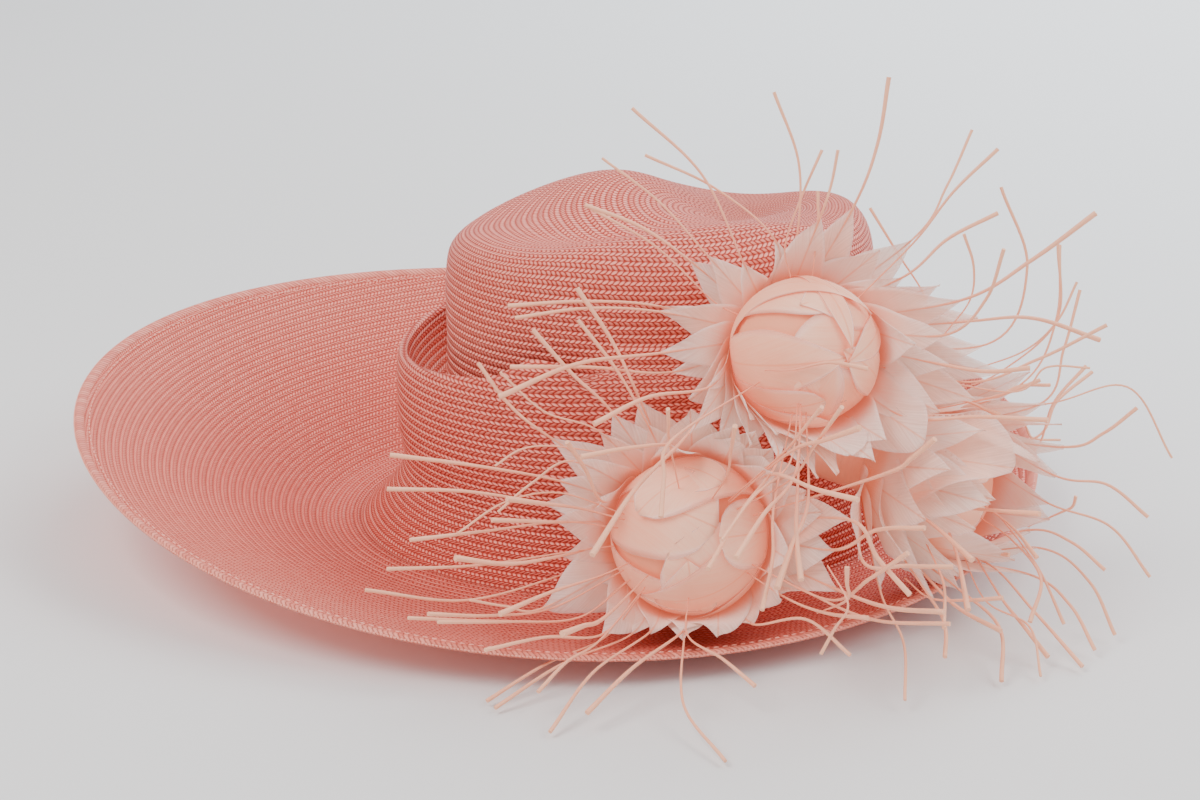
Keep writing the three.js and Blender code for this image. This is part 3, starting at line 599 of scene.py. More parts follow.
def path_object(name, paths, radii=None, cyclic=False):
    """A curve object whose paths run through points in millimetres"""
    curve = bpy.data.curves.new(name, "CURVE")
    curve.dimensions = "3D"
    for index, path in enumerate(paths):
        spline = curve.splines.new("POLY")
        spline.points.add(len(path) - 1)
        placed = np.concatenate([in_row_frame(path), np.ones((len(path), 1))], axis=1)
        spline.points.foreach_set("co", placed.astype(np.float32).ravel())
        radius = 1.0 if radii is None else radii[index]
        spline.points.foreach_set("radius", np.full(len(path), radius, np.float32))
        spline.use_cyclic_u = cyclic
    return link(bpy.data.objects.new(name, curve))


def quill_tree(material):
    """Round quills along curves, thin at the petal and thick at the cut end"""
    tree = GeometryTree("Quills along paths")
    thin = tree.size("Petal end radius", QUILL_START_RADIUS * MM)
    thick = tree.size("Cut end radius", QUILL_END_RADIUS * MM)
    sides = tree.size("Sides", 8, "NodeSocketInt")
    along = Field(tree, tree.node("GeometryNodeSplineParameter").outputs["Factor"])
    scale = Field(tree, tree.node("GeometryNodeInputRadius").outputs[0])
    grown = along ** 1.5
    radius = grown * (thick * scale) + (1.0 - grown) * thin
    marked = tree.node("GeometryNodeStoreNamedAttribute", {"data_type": "FLOAT", "domain": "POINT"},
                       Geometry=tree.start.outputs[0], Name="along", Value=along).outputs[0]
    circle = tree.node("GeometryNodeCurvePrimitiveCircle", Resolution=sides, Radius=1.0).outputs[0]
    sweep = tree.node("GeometryNodeCurveToMesh", Curve=marked, Profile_Curve=circle, Scale=radius, Fill_Caps=True)
    tree.close(sweep.outputs[0], material)
    return tree


def strand_tree(material):
    """Short rounded strands set along a path, each turned across or along it"""
    tree = GeometryTree("Strands along an edge")
    spacing = tree.size("Spacing", 2.0 * MM)
    length = tree.size("Length", 2.0 * MM)
    width = tree.size("Width", 0.7 * MM)
    lean = tree.size("Lean", 0.0)
    seed = tree.size("Seed", 5, "NodeSocketInt")
    points = tree.node("GeometryNodeCurveToPoints", {"mode": "LENGTH"},
                       Curve=tree.start.outputs[0], Length=spacing)
    ball = tree.node("GeometryNodeMeshUVSphere", Segments=6, Rings=5, Radius=1.0).outputs[0]
    size = tree.node("ShaderNodeCombineXYZ", X=width, Y=width, Z=length * 0.5).outputs[0]
    shaped = tree.node("GeometryNodeTransform", Geometry=ball, Scale=size).outputs[0]
    jitter = tree.node("FunctionNodeRandomValue", {"data_type": "FLOAT"}, {2: -LEAN_JITTER, 3: LEAN_JITTER},
                       Seed=seed)
    tilt = tree.node("ShaderNodeCombineXYZ", Y=lean + jitter.outputs[1]).outputs[0]
    turned = tree.node("FunctionNodeRotateEuler", {"space": "LOCAL"}, {1: tilt},
                       Rotation=points.outputs["Rotation"])
    placed = tree.node("GeometryNodeInstanceOnPoints", Points=points.outputs[0], Instance=shaped,
                       Rotation=turned.outputs[0]).outputs[0]
    tree.close(placed, material)
    return tree


# Flowers

def flower_axes(flower):
    forward = flower.faces.normalized()
    side = Vector((0, 0, 1)).cross(forward).normalized()
    return forward, side, forward.cross(side)


VIEW = Vector((0, math.cos(CAMERA_ELEVATION), -math.sin(CAMERA_ELEVATION)))
VIEW_UP = Vector((0, math.sin(CAMERA_ELEVATION), math.cos(CAMERA_ELEVATION)))
EYE = CAMERA_TARGET - VIEW * CAMERA_DISTANCE


def sight_line(u, v):
    """The direction in which a pixel of the photograph looks"""
    return (VIEW * FOCAL_PIXELS + Vector((u - PHOTO_WIDTH / 2, 0, 0))
            - VIEW_UP * (v - PHOTO_HEIGHT / 2)).normalized()


def photo_point(u, v, depth):
    """The place that shows at a pixel of the photograph and lies at a depth, no lower than a quill may"""
    ray = sight_line(u, v)
    point = EYE + ray * ((depth - EYE.y) / ray.y)
    point.z = max(point.z, LOWEST_QUILL)
    return point


def photo_pixel(point):
    away = point - EYE
    far = away.dot(VIEW)
    return Vector((PHOTO_WIDTH / 2 + FOCAL_PIXELS * away.x / far,
                   PHOTO_HEIGHT / 2 - FOCAL_PIXELS * away.dot(VIEW_UP) / far))


def on_ball(u, v, centre, radius):
    """The near side of a ball at a pixel, or the edge of the ball nearest to it"""
    ray = sight_line(u, v)
    nearest = (centre - EYE).dot(ray)
    miss = EYE + ray * nearest - centre
    if miss.length >= radius:
        return centre + miss.normalized() * radius
    return centre + miss - ray * math.sqrt(radius ** 2 - miss.length_squared)


def curve_through(points):
    """Places on a smooth curve through points, with as many steps between each pair"""
    points = [np.array(point, float) for point in points]
    padded = [2 * points[0] - points[1], *points, 2 * points[-1] - points[-2]]
    run = []
    for index in range(len(points) - 1):
        run += [smooth_curve(*padded[index:index + 4], part)
                for part in np.linspace(0, 1, CURVE_STEPS, endpoint=False)]
    return np.array(run + [points[-1]])


def even_run(run, count):
    """The same curve in even steps, and its length"""
    length = np.concatenate([[0], np.cumsum(np.linalg.norm(np.diff(run, axis=0), axis=1))])
    even = np.linspace(0, length[-1], count)
    return np.stack([np.interp(even, length, run[:, axis]) for axis in range(3)], 1), length[-1]


def feather_places(flower, row):
    """Where a feather's middle runs: round the ball from the stem, the petal's point, and the cut end"""
    forward, _, _ = flower_axes(flower)
    ball_radius = flower.radius + BALL_CLEARANCE
    end = photo_point(row.end_u, row.end_v, row.depth)
    middle = photo_pixel(flower.centre)
    point_far = (Vector((row.point_u, row.point_v)) - middle).length
    end_far = (Vector((row.end_u, row.end_v)) - middle).length
    depth = flower.centre.y + (row.depth - flower.centre.y) * min(point_far / max(end_far, 1), 1)
    point = photo_point(row.point_u, row.point_v, depth)
    if (point - flower.centre).length < ball_radius + 1:
        point = on_ball(row.point_u, row.point_v, flower.centre, ball_radius + 1)
    tip = point - flower.centre
    ahead = tip.dot(forward)
    outward = (tip - forward * ahead).normalized()
    reach = tip.length
    leaves = min(math.acos(ahead / reach) + math.acos(min(ball_radius / reach, 1.0)), FEATHERS_LEAVE)
    turns = [FEATHERS_START + (leaves - FEATHERS_START) * share for share in (0, 0.5, 1)]
    wrap = [flower.centre + (outward * math.sin(turn) + forward * math.cos(turn)) * ball_radius
            for turn in turns]
    way = end - point
    halfway = point.lerp(end, 0.5) + way.cross(-VIEW).normalized() * row.bow
    halfway.z = max(halfway.z, LOWEST_QUILL)
    return wrap, point, halfway, end, forward.cross(outward)


def bare_quill(flower, point, halfway, end):
    """A quill whose petal is hidden: it comes out from beside the ball, straight on to its cut end"""
    root = flower.centre + (point - flower.centre).normalized() * flower.radius
    if (point - root).angle(end - point, 0) > math.radians(50):
        root = point - (end - point).normalized() * 12 + (root - point) * 0.3
    return [root, point, halfway, end]


def unit(rows):
    return rows / np.maximum(np.linalg.norm(rows, axis=-1, keepdims=True), 1e-9)


class LeafMesh:
    """Gathers thin closed leaves into one mesh, each from a grid of places in its middle sheet"""

    def __init__(self):
        self.points, self.faces, self.uv = [], [], []
        self.values = {"shade": [], "edge": [], "towards_tip": [], "off_ball": []}

    def add(self, middle, over, half_widths, from_tip, shade, off_ball):
        """over points away from the leaf's upper side; the pattern runs in millimetres from the rib and tip"""
        rows, columns = middle.shape[:2]
        share = np.linspace(-1, 1, columns)
        half = (PETAL_THICKNESS / 2 * (1 - 0.85 * share ** 4))[None, :, None]
        base, size = len(self.points), rows * columns
        for sheet in (middle + over * half, middle - over * half):
            self.points += sheet.reshape(-1, 3).tolist()
            self.values["edge"] += np.tile(np.abs(share), rows).tolist()
            self.values["towards_tip"] += np.repeat(np.linspace(0, 1, rows), columns).tolist()
        self.values["shade"] += [shade] * (2 * size)
        self.values["off_ball"] += np.tile(off_ball.ravel(), 2).tolist()
        spots = np.stack([0.5 + half_widths[:, None] * share[None, :] / 100,
                          np.repeat(from_tip[:, None] / 100, columns, 1)], 2)

        def quad(corners, flip):
            corners = corners[::-1] if flip else corners
            self.faces.append([base + sheet * size + r * columns + c for sheet, r, c in corners])
            self.uv.extend(spots[r, c] for _, r, c in corners)

        last, end = columns - 1, rows - 1
        for r in range(end):
            for c in range(last):
                for sheet in (0, 1):
                    quad([(sheet, r, c), (sheet, r, c + 1), (sheet, r + 1, c + 1), (sheet, r + 1, c)], sheet == 1)
            for c in (0, last):
                quad([(0, r, c), (0, r + 1, c), (1, r + 1, c), (1, r, c)], c == last)
        for c in range(last):
            for r in (0, end):
                quad([(0, r, c), (0, r, c + 1), (1, r, c + 1), (1, r, c)], r == 0)

    def add_ball(self, points, faces):
        base = len(self.points)
        self.points += points
        for key, value in (("shade", 0.5), ("edge", 0.0), ("towards_tip", 0.0), ("off_ball", 0.0)):
            self.values[key] += [value] * len(points)
        for face in faces:
            self.faces.append([base + corner for corner in face])
            self.uv.extend([(0.5, 0.5)] * len(face))

    def build(self, name):
        piece = make_mesh(name, self.points, self.faces, uv=self.uv, values=self.values)
        out = bmesh.new()
        out.from_mesh(piece.data)
        bmesh.ops.recalc_face_normals(out, faces=out.faces)
        out.to_mesh(piece.data)
        out.free()
        return piece


def leaf_outline(share, widest, blunt):
    """A leaf's half width by its share of the length, 1 at its widest"""
    rising = 0.4 + 0.6 * smoothstep(share / widest)
    falling = np.clip((share - widest) / (1 - widest), 0, 1)
    narrowing = np.sqrt(1 - (falling * 0.995) ** 3) if blunt else 1 - falling ** 1.6
    return rising * narrowing


def add_petal(petals, flower, row, run, around, chance):
    """A feather's petal: it hugs the ball, leaves it and opens, with a slight wave to its edges"""
    path, length = even_run(run, PETAL_STEPS)
    on_the_ball = np.linalg.norm(np.diff(run[:2 * CURVE_STEPS], axis=0), axis=1).sum() / length
    widest = min(max(on_the_ball, 0.45), 0.72)
    share = np.linspace(0, 1, len(path))
    along = unit(np.gradient(path, axis=0))
    across = unit(np.array(around)[None] - along * (along @ np.array(around))[:, None])
    over = np.cross(along, across)
    over *= np.sign((over * unit(path - np.array(flower.centre))).sum(axis=1).mean())
    free = smoothstep((share - widest * 0.8) / (1 - widest * 0.8))
    twist = (free * chance.uniform(-0.5, 0.5))[:, None]
    across, over = across * np.cos(twist) + over * np.sin(twist), over * np.cos(twist) - across * np.sin(twist)
    half_widths = row.width / 2 * chance.uniform(0.96, 1.1) * leaf_outline(share, widest, row.blunt)
    half_widths = np.maximum(half_widths, LEAF_END_WIDTH)
    side = np.linspace(-1, 1, PETAL_COLUMNS)
    ragged = np.sin(share[:, None] * chance.uniform(9, 15) + np.sign(side)[None, :] * chance.uniform(1, 3))
    ragged = 1 + 0.09 * free[:, None] * ragged * np.abs(side)[None, :]
    offset = half_widths[:, None] * side[None, :] * ragged
    cup = (1 - free) * 0.5 / (flower.radius + BALL_CLEARANCE) + free * chance.uniform(-0.022, 0.03)
    folded = (free * chance.uniform(-0.35, 0.3))[:, None] * np.abs(offset)
    phase, waves = chance.uniform(0, 6.28), chance.uniform(1.2, 2.4)
    wave = free[:, None] * np.sin(phase + waves * 6.28 * share[:, None] + 1.5 * side[None, :]) * side[None, :] ** 2
    middle = (path[:, None] + across[:, None] * offset[..., None]
              + over[:, None] * (wave * 1.3 + folded - cup[:, None] * offset ** 2)[..., None])
    crease = np.exp(-(side / 0.12) ** 2) * 0.35
    middle = middle - over[:, None] * crease[None, :, None]
    off_ball = np.linalg.norm(middle - np.array(flower.centre), axis=2) - flower.radius
    petals.add(middle, np.repeat(over[:, None], PETAL_COLUMNS, 1), half_widths, (1 - share) * length,
               chance.uniform(0, 1), np.clip(off_ball / PETAL_OFF_BALL, 0, 1))


def build_feathers(flower):
    """A flower's petals as one mesh, and the paths and sizes of its quills"""
    chance = random.Random(flower.seed)
    petals, quills, sizes = LeafMesh(), [], []
    for values in FEATHERS[flower.name]:
        point_u, point_v, depth, *rest = values
        if len(values) <= PETAL_ROW:
            values = (point_u, point_v, depth, point_u, point_v, rest[0], 0, 0, *rest[1:])
        row = Feather(*values)
        wrap, point, halfway, end, around = feather_places(flower, row)
        bare = not row.width
        run = curve_through(bare_quill(flower, point, halfway, end) if bare
                            else [*wrap, point, halfway, end] if row.thick else [*wrap, point])
        if not bare:
            add_petal(petals, flower, row, run[:3 * CURVE_STEPS + 1], around, chance)
        if row.thick:
            quills.append(even_run(run if bare else run[2 * CURVE_STEPS:], QUILL_STEPS)[0])
            sizes.append(row.thick)
    return petals, quills, sizes


def build_bud(flower):
    """The ball under its wrapped petals, each hugging the ball and lifting a little at its tip"""
    chance = random.Random(flower.seed + 100)
    forward, side, up = (np.array(axis) for axis in flower_axes(flower))
    centre = flower.centre
    leaves = LeafMesh()
    for layer, row in enumerate(Wrap(*values) for values in WRAPS[flower.name]):
        radius = flower.radius - WRAP_START + layer * WRAP_STEP
        root = (on_ball(row.root_u, row.root_v, centre, radius) - centre).normalized()
        tip = (on_ball(row.tip_u, row.tip_v, centre, radius) - centre).normalized()
        axis = root.cross(tip).normalized()
        turn = root.angle(tip)
        share = np.linspace(0, 1, PETAL_STEPS)
        along = -WRAP_TUCK + (turn + WRAP_TUCK) * share
        ahead = axis.cross(root)
        rib = np.cos(along)[:, None] * np.array(root) + np.sin(along)[:, None] * np.array(ahead)
        widest = (WRAP_TUCK + turn * 0.45) / (WRAP_TUCK + turn)
        half_widths = np.maximum(row.width / 2 * leaf_outline(share, widest, row.blunt), LEAF_END_WIDTH)
        spread = np.linspace(-1, 1, WRAP_COLUMNS)
        angle = half_widths[:, None] * spread[None, :] / radius
        over = np.cos(angle)[..., None] * rib[:, None] + np.sin(angle)[..., None] * np.array(axis)
        lifted = np.clip((share - 0.55) / 0.45, 0, 1)[:, None] ** 2 * row.lift
        rolled = spread[None, :] ** 4 * 0.5 * smoothstep((share - 0.3) / 0.5)[:, None]
        wave = np.sin(chance.uniform(0, 6) + 5 * share[:, None] + 2.2 * spread[None, :]) * 0.35
        middle = np.array(centre) + over * (radius + lifted + rolled + wave)[..., None]
        leaves.add(middle, over, half_widths, (1 - share) * radius * (turn + WRAP_TUCK), chance.uniform(0, 1),
                   np.clip(lifted / 4 + rolled, 0, 1))
    ball_points, ball_faces = ball(np.array(centre), forward, side, up,
                                   flower.radius - CORE_INSET, flower.depth - CORE_INSET)
    leaves.add_ball(ball_points, ball_faces)
    return leaves


def ball(centre, forward, side, up, radius, depth):
    """A closed ball whose poles lie on the way the flower faces"""
    rows, columns = 16, 28
    points = []
    for row in range(1, rows):
        lean = row / rows * math.pi
        for column in range(columns):
            turn = column / columns * 2 * math.pi
            flat = math.cos(turn) * side + math.sin(turn) * up
            points.append((centre + forward * depth * math.cos(lean) + flat * radius * math.sin(lean)).tolist())
    front, back = len(points), len(points) + 1
    points += [(centre + forward * depth).tolist(), (centre - forward * depth).tolist()]
    faces, last_row = tube_faces(rows - 1, columns), (rows - 2) * columns
    for column in range(columns):
        beside = (column + 1) % columns
        faces += [[front, column, beside], [back, last_row + beside, last_row + column]]
    return points, faces


def build_stem(flower):
    """The stem that gathers the feathers, bound with thread in close turns"""
    forward, side, up = (np.array(axis) for axis in flower_axes(flower))
    start, length = flower.depth - 6, flower.stem + 6 + BALL_CLEARANCE
    rows, columns = 40, 20
    points = []
    for row in range(rows + 1):
        share = row / rows
        turns = 0.35 * math.sin(share * length / 1.1 * math.pi) ** 2
        radius = 9 * (1.35 - 0.35 * share) + turns
        middle = np.array(flower.centre) - forward * (start + length * share)
        for column in range(columns):
            turn = column / columns * 2 * math.pi
            points.append((middle + (side * math.cos(turn) + up * math.sin(turn)) * radius).tolist())
    faces = tube_faces(rows + 1, columns)
    faces += [list(range(columns)), [rows * columns + column for column in reversed(range(columns))]]
    return make_mesh(f"flower_{flower.name}_stem", points, faces, uv=[(0.5, 0.1)] * sum(map(len, faces)),
                     values={"shade": [0.4] * len(points), "edge": [0.0] * len(points),
                             "towards_tip": [0.0] * len(points)})


# Finishes

class Finish(NodeBuilder):
    """A material in the making"""

    def __init__(self, name, **constants):
        self.material = bpy.data.materials.new(name)
        self.material.use_nodes = True
        self.tree = self.material.node_tree
        self.tree.nodes.clear()
        self.output = self.tree.nodes.new("ShaderNodeOutputMaterial")
        self.shader = self.node("ShaderNodeBsdfPrincipled", None, constants)
        self.tree.links.new(self.shader.outputs[0], self.output.inputs["Surface"])

    def attribute(self, name):
        return Field(self, self.node("ShaderNodeAttribute", {"attribute_name": name}).outputs["Fac"])

    def pattern(self):
        """The two coordinates of the piece's own UV map"""
        return self.parts(self.node("ShaderNodeUVMap", {"uv_map": "Pattern"}).outputs[0])

    def parts(self, vector):
        made = self.node("ShaderNodeSeparateXYZ", None, {0: vector})
        return Field(self, made.outputs[0]), Field(self, made.outputs[1])

    def vector(self, x, y, z=0.0):
        return self.node("ShaderNodeCombineXYZ", None, {0: x, 1: y, 2: z}).outputs[0]

    def noise(self, scale, vector=None, detail=2.0):
        where = self.node("ShaderNodeTexCoord").outputs["Object"] if vector is None else vector
        made = self.node("ShaderNodeTexNoise", None, {"Vector": where, "Scale": scale, "Detail": detail})
        return Field(self, made.outputs[0])

    def random(self, vector):
        made = self.node("ShaderNodeTexWhiteNoise", {"noise_dimensions": "3D"}, {"Vector": vector})
        return Field(self, made.outputs["Value"])

    def mix(self, factor, first, second):
        return self.node("ShaderNodeMix", {"data_type": "RGBA"}, {0: factor, 6: first, 7: second}).outputs[2]

    def bump(self, height, distance, strength=1.0):
        return self.node("ShaderNodeBump", None,
                         {"Height": height, "Distance": distance, "Strength": strength}).outputs[0]

    def paint(self, **inputs):
        for key, value in inputs.items():
            self.feed(self.shader.inputs[key.replace("_", " ")], value)
        return self.material


def colour(red, green, blue):
    """A colour as seen on screen, from 0 to 1, as the shader's linear values"""
    linear = [((value + 0.055) / 1.055) ** 2.4 if value > 0.04045 else value / 12.92
              for value in (red, green, blue)]
    return (*linear, 1.0)


def straw_finish():
    """Herringbone: half rows of slanted strokes lean left and right in turn, over a low ridge to each pair.
    Painted light and shade: paler stroke middles and a lighter second half row as painted highlight, painted shade
    between strokes, in the brim's valley and under the flowers, painted light in the fold's gutter, and a painted
    glow on the brim's underside in place of light coming through the straw"""
    finish = Finish("straw weave", **{"Emission Strength": 0.55, "Specular IOR Level": 0.4,
                                      "Specular Tint": (1.0, 0.68, 0.6, 1.0)})
    pale, deep = colour(1.0, 0.615, 0.54), colour(0.88, 0.335, 0.275)
    between_strokes, in_the_shade = colour(0.62, 0.17, 0.12), colour(0.42, 0.12, 0.08)
    turn, row = finish.pattern()
    strokes, gain = finish.attribute("strokes"), finish.attribute("gain")
    place = finish.attribute("place")
    on_brim = place.between(named_place("collar foot", 0.6), named_place("end of the rest", 0.2))
    number = row.floor()
    inside_row = row.fract()
    # Which half of its pair a row is: it sets the strokes' lean, and the second half is painted a little lighter as
    # painted sheen
    lean_and_sheen_row = (number * 0.5).fract() * 2
    folded_back = finish.maths("GREATER_THAN", place, named_place("gutter"))
    leaning = (lean_and_sheen_row * 2 - 1) * (1 - folded_back * 2)
    count = ((strokes - gain * (inside_row - 0.5)) / STROKES_A_STEP).floor() * STROKES_A_STEP + STROKES_A_STEP
    wobble = (finish.noise(260.0) - 0.5) * 0.5
    stroke = turn * count + leaning * (inside_row - 0.5) * SLANT + (number * 0.5).floor() * 0.37 + wobble
    across = ((stroke.fract() - 0.5) * 2).abs()
    ends = ((inside_row - 0.5) * 2).abs()
    grain = (1 - across ** 2.0 * 0.96 - ends ** 2.0 * 0.8).clamped().sqrt()
    each = finish.random(finish.vector(stroke.floor(), number))
    # Darker between strokes: partly the weave's own dark joints, partly painted shade in the grooves, less on the
    # brim
    gap = (1 - grain).between(0.05, 0.9)
    tone = finish.noise(7.0, detail=3.0)
    # Painted highlight: each stroke is paler along its middle than at its edges
    stroke_painted_highlight = (1 - across ** 1.8) * (1 - ends ** 2.0 * 0.85)
    # Painted shade: the straw is darker in the valley from the collar's foot over the rest towards the mid brim
    valley_painted_shade = (place.between(named_place("collar wall", 0.6), named_place("collar foot", 0.6))
                 * (1 - place.between(named_place("end of the rest", 0.4), named_place("mid brim", 0.8))))
    # Painted light: the straw is lighter, and its gaps less dark, in the fold's gutter, where shade falls
    gutter_painted_light = (place.between(named_place("low wall"), named_place("crown foot")) * finish.attribute("folded")
                 * (1 - place.between(named_place("inner wall"), named_place("collar rim"))))
    # Painted shade under the flowers: darker straw near each ball
    painted_shade_under_flowers = finish.attribute("painted_shade_under_flowers")
    light = (stroke_painted_highlight * 1.25 + lean_and_sheen_row * 0.12 + each * 0.3 + (tone - 0.5) * 0.3 - 0.28
             - valley_painted_shade * 0.35 + gutter_painted_light * 0.5 - painted_shade_under_flowers * 0.6)
    body = finish.mix(light.clamped(), deep, pale)
    shaded = finish.mix(gap * (0.8 - 0.35 * on_brim - 0.4 * gutter_painted_light), body, between_strokes)
    shaded = finish.mix(painted_shade_under_flowers * 0.75, shaded, in_the_shade)
    ridge = finish.maths("COSINE", row * math.pi) * 0.5
    normal = finish.bump(grain * 0.7 + ridge * 1.0, 0.85 * MM, 1.0)
    past_the_rest = place.between(named_place("start of the rest", 0.5), named_place("end of the rest", 0.5))
    # Painted glow: the underside past the rest emits a pink light onto the floor
    through = finish.mix(finish.attribute("underside_painted_glow") * past_the_rest, colour(0, 0, 0), colour(1.0, 0.60, 0.52))
    return finish.paint(Base_Color=shaded, Roughness=0.34 + 0.35 * gap + 0.12 * each, Normal=normal,
                        Emission_Color=through)


def hem_finish():
    """The strip's own strands: slanted dashes along the edge"""
    finish = Finish("hem weave", **{"Specular IOR Level": 0.5})
    turn, around = finish.pattern()
    stroke = turn * 620.0 + around * 5.0
    across = ((stroke.fract() - 0.5) * 2).abs()
    each = finish.random(finish.vector(stroke.floor(), 3.0))
    body = finish.mix(each, colour(0.88, 0.45, 0.37), colour(0.97, 0.60, 0.51))
    shaded = finish.mix(across ** 3.0 * 0.8, body, colour(0.64, 0.25, 0.20))
    normal = finish.bump((1 - across * across).clamped().sqrt(), 0.5 * MM, 0.8)
    return finish.paint(Base_Color=shaded, Roughness=0.4 + 0.2 * across, Normal=normal)


def thread_finish(name, pale, deep):
    finish = Finish(name, **{"Specular IOR Level": 0.4})
    grain = finish.noise(900.0)
    return finish.paint(Base_Color=finish.mix(grain, deep, pale), Roughness=0.45 + 0.2 * grain,
                        Normal=finish.bump(grain, 0.1 * MM, 0.5))


def petal_finish(name, root, tip, line, crease, clear, colour_reach):
    """Thin feather: barbs run out from the rib towards the tip, paler and clearer at the edges, with a faint painted
    glow of its own colour in place of light coming through it
    """
    finish = Finish(name, **{"Specular IOR Level": 0.3, "Sheen Weight": 0.1, "Sheen Roughness": 0.5,
                             "Emission Strength": 0.16})
    across, back = finish.pattern()
    out = (across - 0.5).abs() * 100
    from_tip = back * 100
    shade = finish.attribute("shade")
    barb = out + from_tip * 0.3
    streak = finish.noise(1.0, finish.vector(barb * 1.5, from_tip * 0.04, shade * 40), detail=3.0)
    fine = finish.noise(1.0, finish.vector(barb * 6.0, from_tip * 0.1, shade * 40), detail=1.0)
    patch = finish.noise(1.0, finish.vector(out * 0.12, from_tip * 0.06, shade * 90), detail=2.0)
    # Deeper towards the root: partly the feather's own colour, partly painted shade near the ball
    near_root = from_tip.between(2.0, colour_reach)
    body = finish.mix((near_root * 0.6 + (patch - 0.5) * 0.45 + (shade - 0.4) * 0.7).clamped(), tip, root)
    rib = 1 - out.between(0.1, 0.7)
    lined = finish.mix(((streak - 0.4) * 0.9).clamped(), body, line)
    lined = finish.mix(rib * 0.5, lined, crease)
    edge = finish.attribute("edge")
    rimmed = finish.mix(edge.between(0.72, 1.0) * (1 - near_root * 0.7) * 0.6, lined, colour(1.0, 0.88, 0.84))
    # Painted shade: where a petal is tucked against the ball it takes the darker crease colour
    painted_shade_by_ball = 1 - finish.attribute("off_ball").between(0.05, 0.3)
    if clear:
        rimmed = finish.mix(painted_shade_by_ball * 0.7, rimmed, crease)
    normal = finish.bump(streak * 0.6 + fine * 0.4, 0.3 * MM, 0.6)
    # Painted glow: the petal emits its own colour, standing in for light through the thin feather
    finish.paint(Base_Color=rimmed, Roughness=0.5 + 0.2 * fine, Normal=normal, Emission_Color=rimmed)
    if clear:
        free = finish.attribute("off_ball").between(0.3, 0.9)
        thin = edge.between(0.6, 1.0) * 0.2 + finish.attribute("towards_tip").between(0.55, 1.0) * 0.6 + 0.35
        finish.paint(Alpha=1 - (thin * free * clear * (0.5 + streak)).clamped())
    else:
        finish.paint(Alpha=1 - edge.between(0.82, 1.0) * 0.6)
    return finish.material


def quill_finish():
    """Bare quill: blush at the petal, cream and a little glossy towards the cut end"""
    finish = Finish("quill", **{"Specular IOR Level": 0.45, "Subsurface Weight": 0.2,
                                "Subsurface Radius": (1.0, 0.7, 0.5), "Subsurface Scale": 0.002})
    along = finish.attribute("along")
    grain = finish.noise(260.0, detail=3.0)
    body = finish.mix((along + (grain - 0.5) * 0.4).clamped(), colour(0.97, 0.58, 0.46),
                      colour(0.99, 0.71, 0.57))
    return finish.paint(Base_Color=body, Roughness=0.36 + 0.2 * grain,
                        Normal=finish.bump(grain, 0.15 * MM, 0.4))


def floor_finish():
    """Pale paper, a little cooler, with painted light making it brighter towards the back right"""
    finish = Finish("floor", **{"Specular IOR Level": 0.2, "Roughness": 0.75})
    right, back = finish.parts(finish.node("ShaderNodeTexCoord").outputs["Object"])
    # Painted light: brighter towards the back right
    far = (right * 0.9 + back * 0.55).between(-0.25, 1.1)
    tone = (finish.noise(1.2, detail=2.0) - 0.5) * 0.25
    return finish.paint(Base_Color=finish.mix((far + tone).clamped(), colour(0.875, 0.868, 0.862),
                                              colour(0.955, 0.965, 0.975)))


# Build every piece

STRAW = straw_finish()
HEM = hem_finish()
WRAP = thread_finish("edge strands", colour(1.0, 0.72, 0.63), colour(0.92, 0.48, 0.40))
STITCH = thread_finish("stitch thread", colour(1.0, 0.74, 0.66), colour(0.96, 0.60, 0.52))
PETAL = petal_finish("petal", colour(0.99, 0.755, 0.65), colour(0.95, 0.86, 0.81), colour(0.95, 0.70, 0.60),
                     colour(0.94, 0.56, 0.37), 0.5, 55.0)
BUD_PETAL = petal_finish("bud petal", colour(0.99, 0.61, 0.46), colour(1.0, 0.75, 0.63), colour(0.95, 0.57, 0.43),
                         colour(0.92, 0.53, 0.37), 0, 30.0)
QUILL = quill_finish()

wear(build_straw(), "straw", STRAW, "crown", "brim")
wear(build_hem(), "straw", HEM, "brim_hem")

edge, outward, square = edge_frames(720)
strands = strand_tree(WRAP)
wraps = strands.run(path_object("wraps_path", [edge + outward * (HEM_WIDTH + 0.1) - square * 0.2], cyclic=True),
                    "edge_wraps", {"Spacing": WRAP_SPACING * MM, "Length": 1.8 * MM, "Width": 0.5 * MM,
                                   "Lean": 0.5})
wear(wraps, "straw", None)

inset = edge - outward * (STITCH_INSET - HEM_WIDTH) + square * (STRAW_THICKNESS / 2 + 0.15)
stitches = strand_tree(STITCH)
stitched = stitches.run(path_object("stitch_path", [inset], cyclic=True), "hem_stitches",
                        {"Spacing": STITCH_SPACING * MM, "Length": STITCH_LENGTH * MM,
                         "Width": 0.4 * MM, "Lean": 0.0})
wear(stitched, "straw", None)

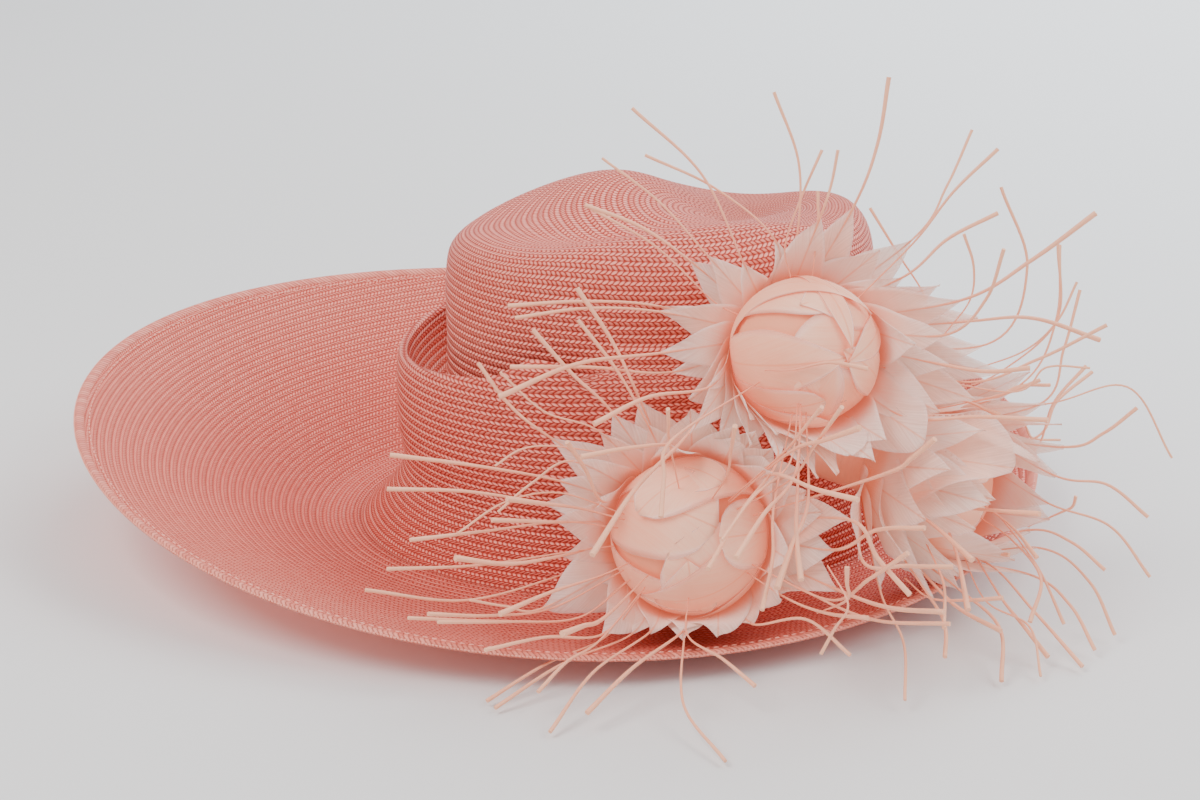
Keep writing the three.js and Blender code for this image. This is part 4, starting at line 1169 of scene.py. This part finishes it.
quill_maker = quill_tree(QUILL)
for flower in FLOWERS:
    name = f"flower_{flower.name}"
    petals, quills, sizes = build_feathers(flower)
    wear(petals.build(f"{name}_petals"), "petals", PETAL, f"{name}_feathers")
    wear(build_bud(flower).build(f"{name}_wrapped_bud"), "buds", BUD_PETAL, f"{name}_bud")
    wear(build_stem(flower), "buds", BUD_PETAL)
    quills_piece = quill_maker.run(path_object("quill_paths", quills, sizes), f"{name}_quills", {})
    quills_piece.data.shade_smooth()
    wear(quills_piece, "petals", None, f"{name}_feathers")

# Floor, light and camera

FLOOR_RADIUS, FLOOR_SIDES = 8.0, 96  # metres
floor_mesh = bpy.data.meshes.new("floor")
turns = [side / FLOOR_SIDES * 2 * math.pi for side in range(FLOOR_SIDES)]
floor_mesh.from_pydata([(FLOOR_RADIUS * math.cos(turn), FLOOR_RADIUS * math.sin(turn), 0.0) for turn in turns],
                       [], [list(range(FLOOR_SIDES))])
floor = link(bpy.data.objects.new("floor", floor_mesh))
floor_mesh.materials.append(floor_finish())


def add_light(name, place, aim, size, power, tint):
    """A square softbox that points at a place, in metres"""
    light = bpy.data.lights.new(name, "AREA")
    light.shape = "SQUARE"
    light.size = size
    light.energy = power
    light.color = tint
    obj = link(bpy.data.objects.new(name, light))
    obj.location = place
    obj.rotation_euler = (Vector(aim) - Vector(place)).to_track_quat("-Z", "Y").to_euler()


add_light("softbox_left", (-1.2, -0.8, 1.9), (0, 0, 0.05), 1.2, 42, (1.0, 0.98, 0.96))
add_light("softbox_right", (1.5, -0.5, 1.6), (0, 0, 0.05), 1.0, 20, (1.0, 0.99, 0.98))
add_light("softbox_back", (0.9, 1.6, 2.0), (0.2, 0.3, 0.1), 1.6, 34, (0.96, 0.99, 1.0))
add_light("window_glow", (1.1, 1.7, 0.9), (0.7, 1.3, 0), 0.9, 10, (0.95, 0.98, 1.0))

world = bpy.data.worlds.new("studio")
bpy.context.scene.world = world
world.use_nodes = True
backdrop = world.node_tree.nodes["Background"]
backdrop.inputs["Color"].default_value = (0.93, 0.95, 1.0, 1.0)
backdrop.inputs["Strength"].default_value = 0.9

camera_data = bpy.data.cameras.new("camera")
camera_data.lens = LENS
camera_data.sensor_width = SENSOR_WIDTH
camera = link(bpy.data.objects.new("camera", camera_data))
camera.location = Vector(in_row_frame(EYE))
camera.rotation_mode = "QUATERNION"
camera.rotation_quaternion = VIEW.to_track_quat("-Z", "Y")
bpy.context.scene.camera = camera
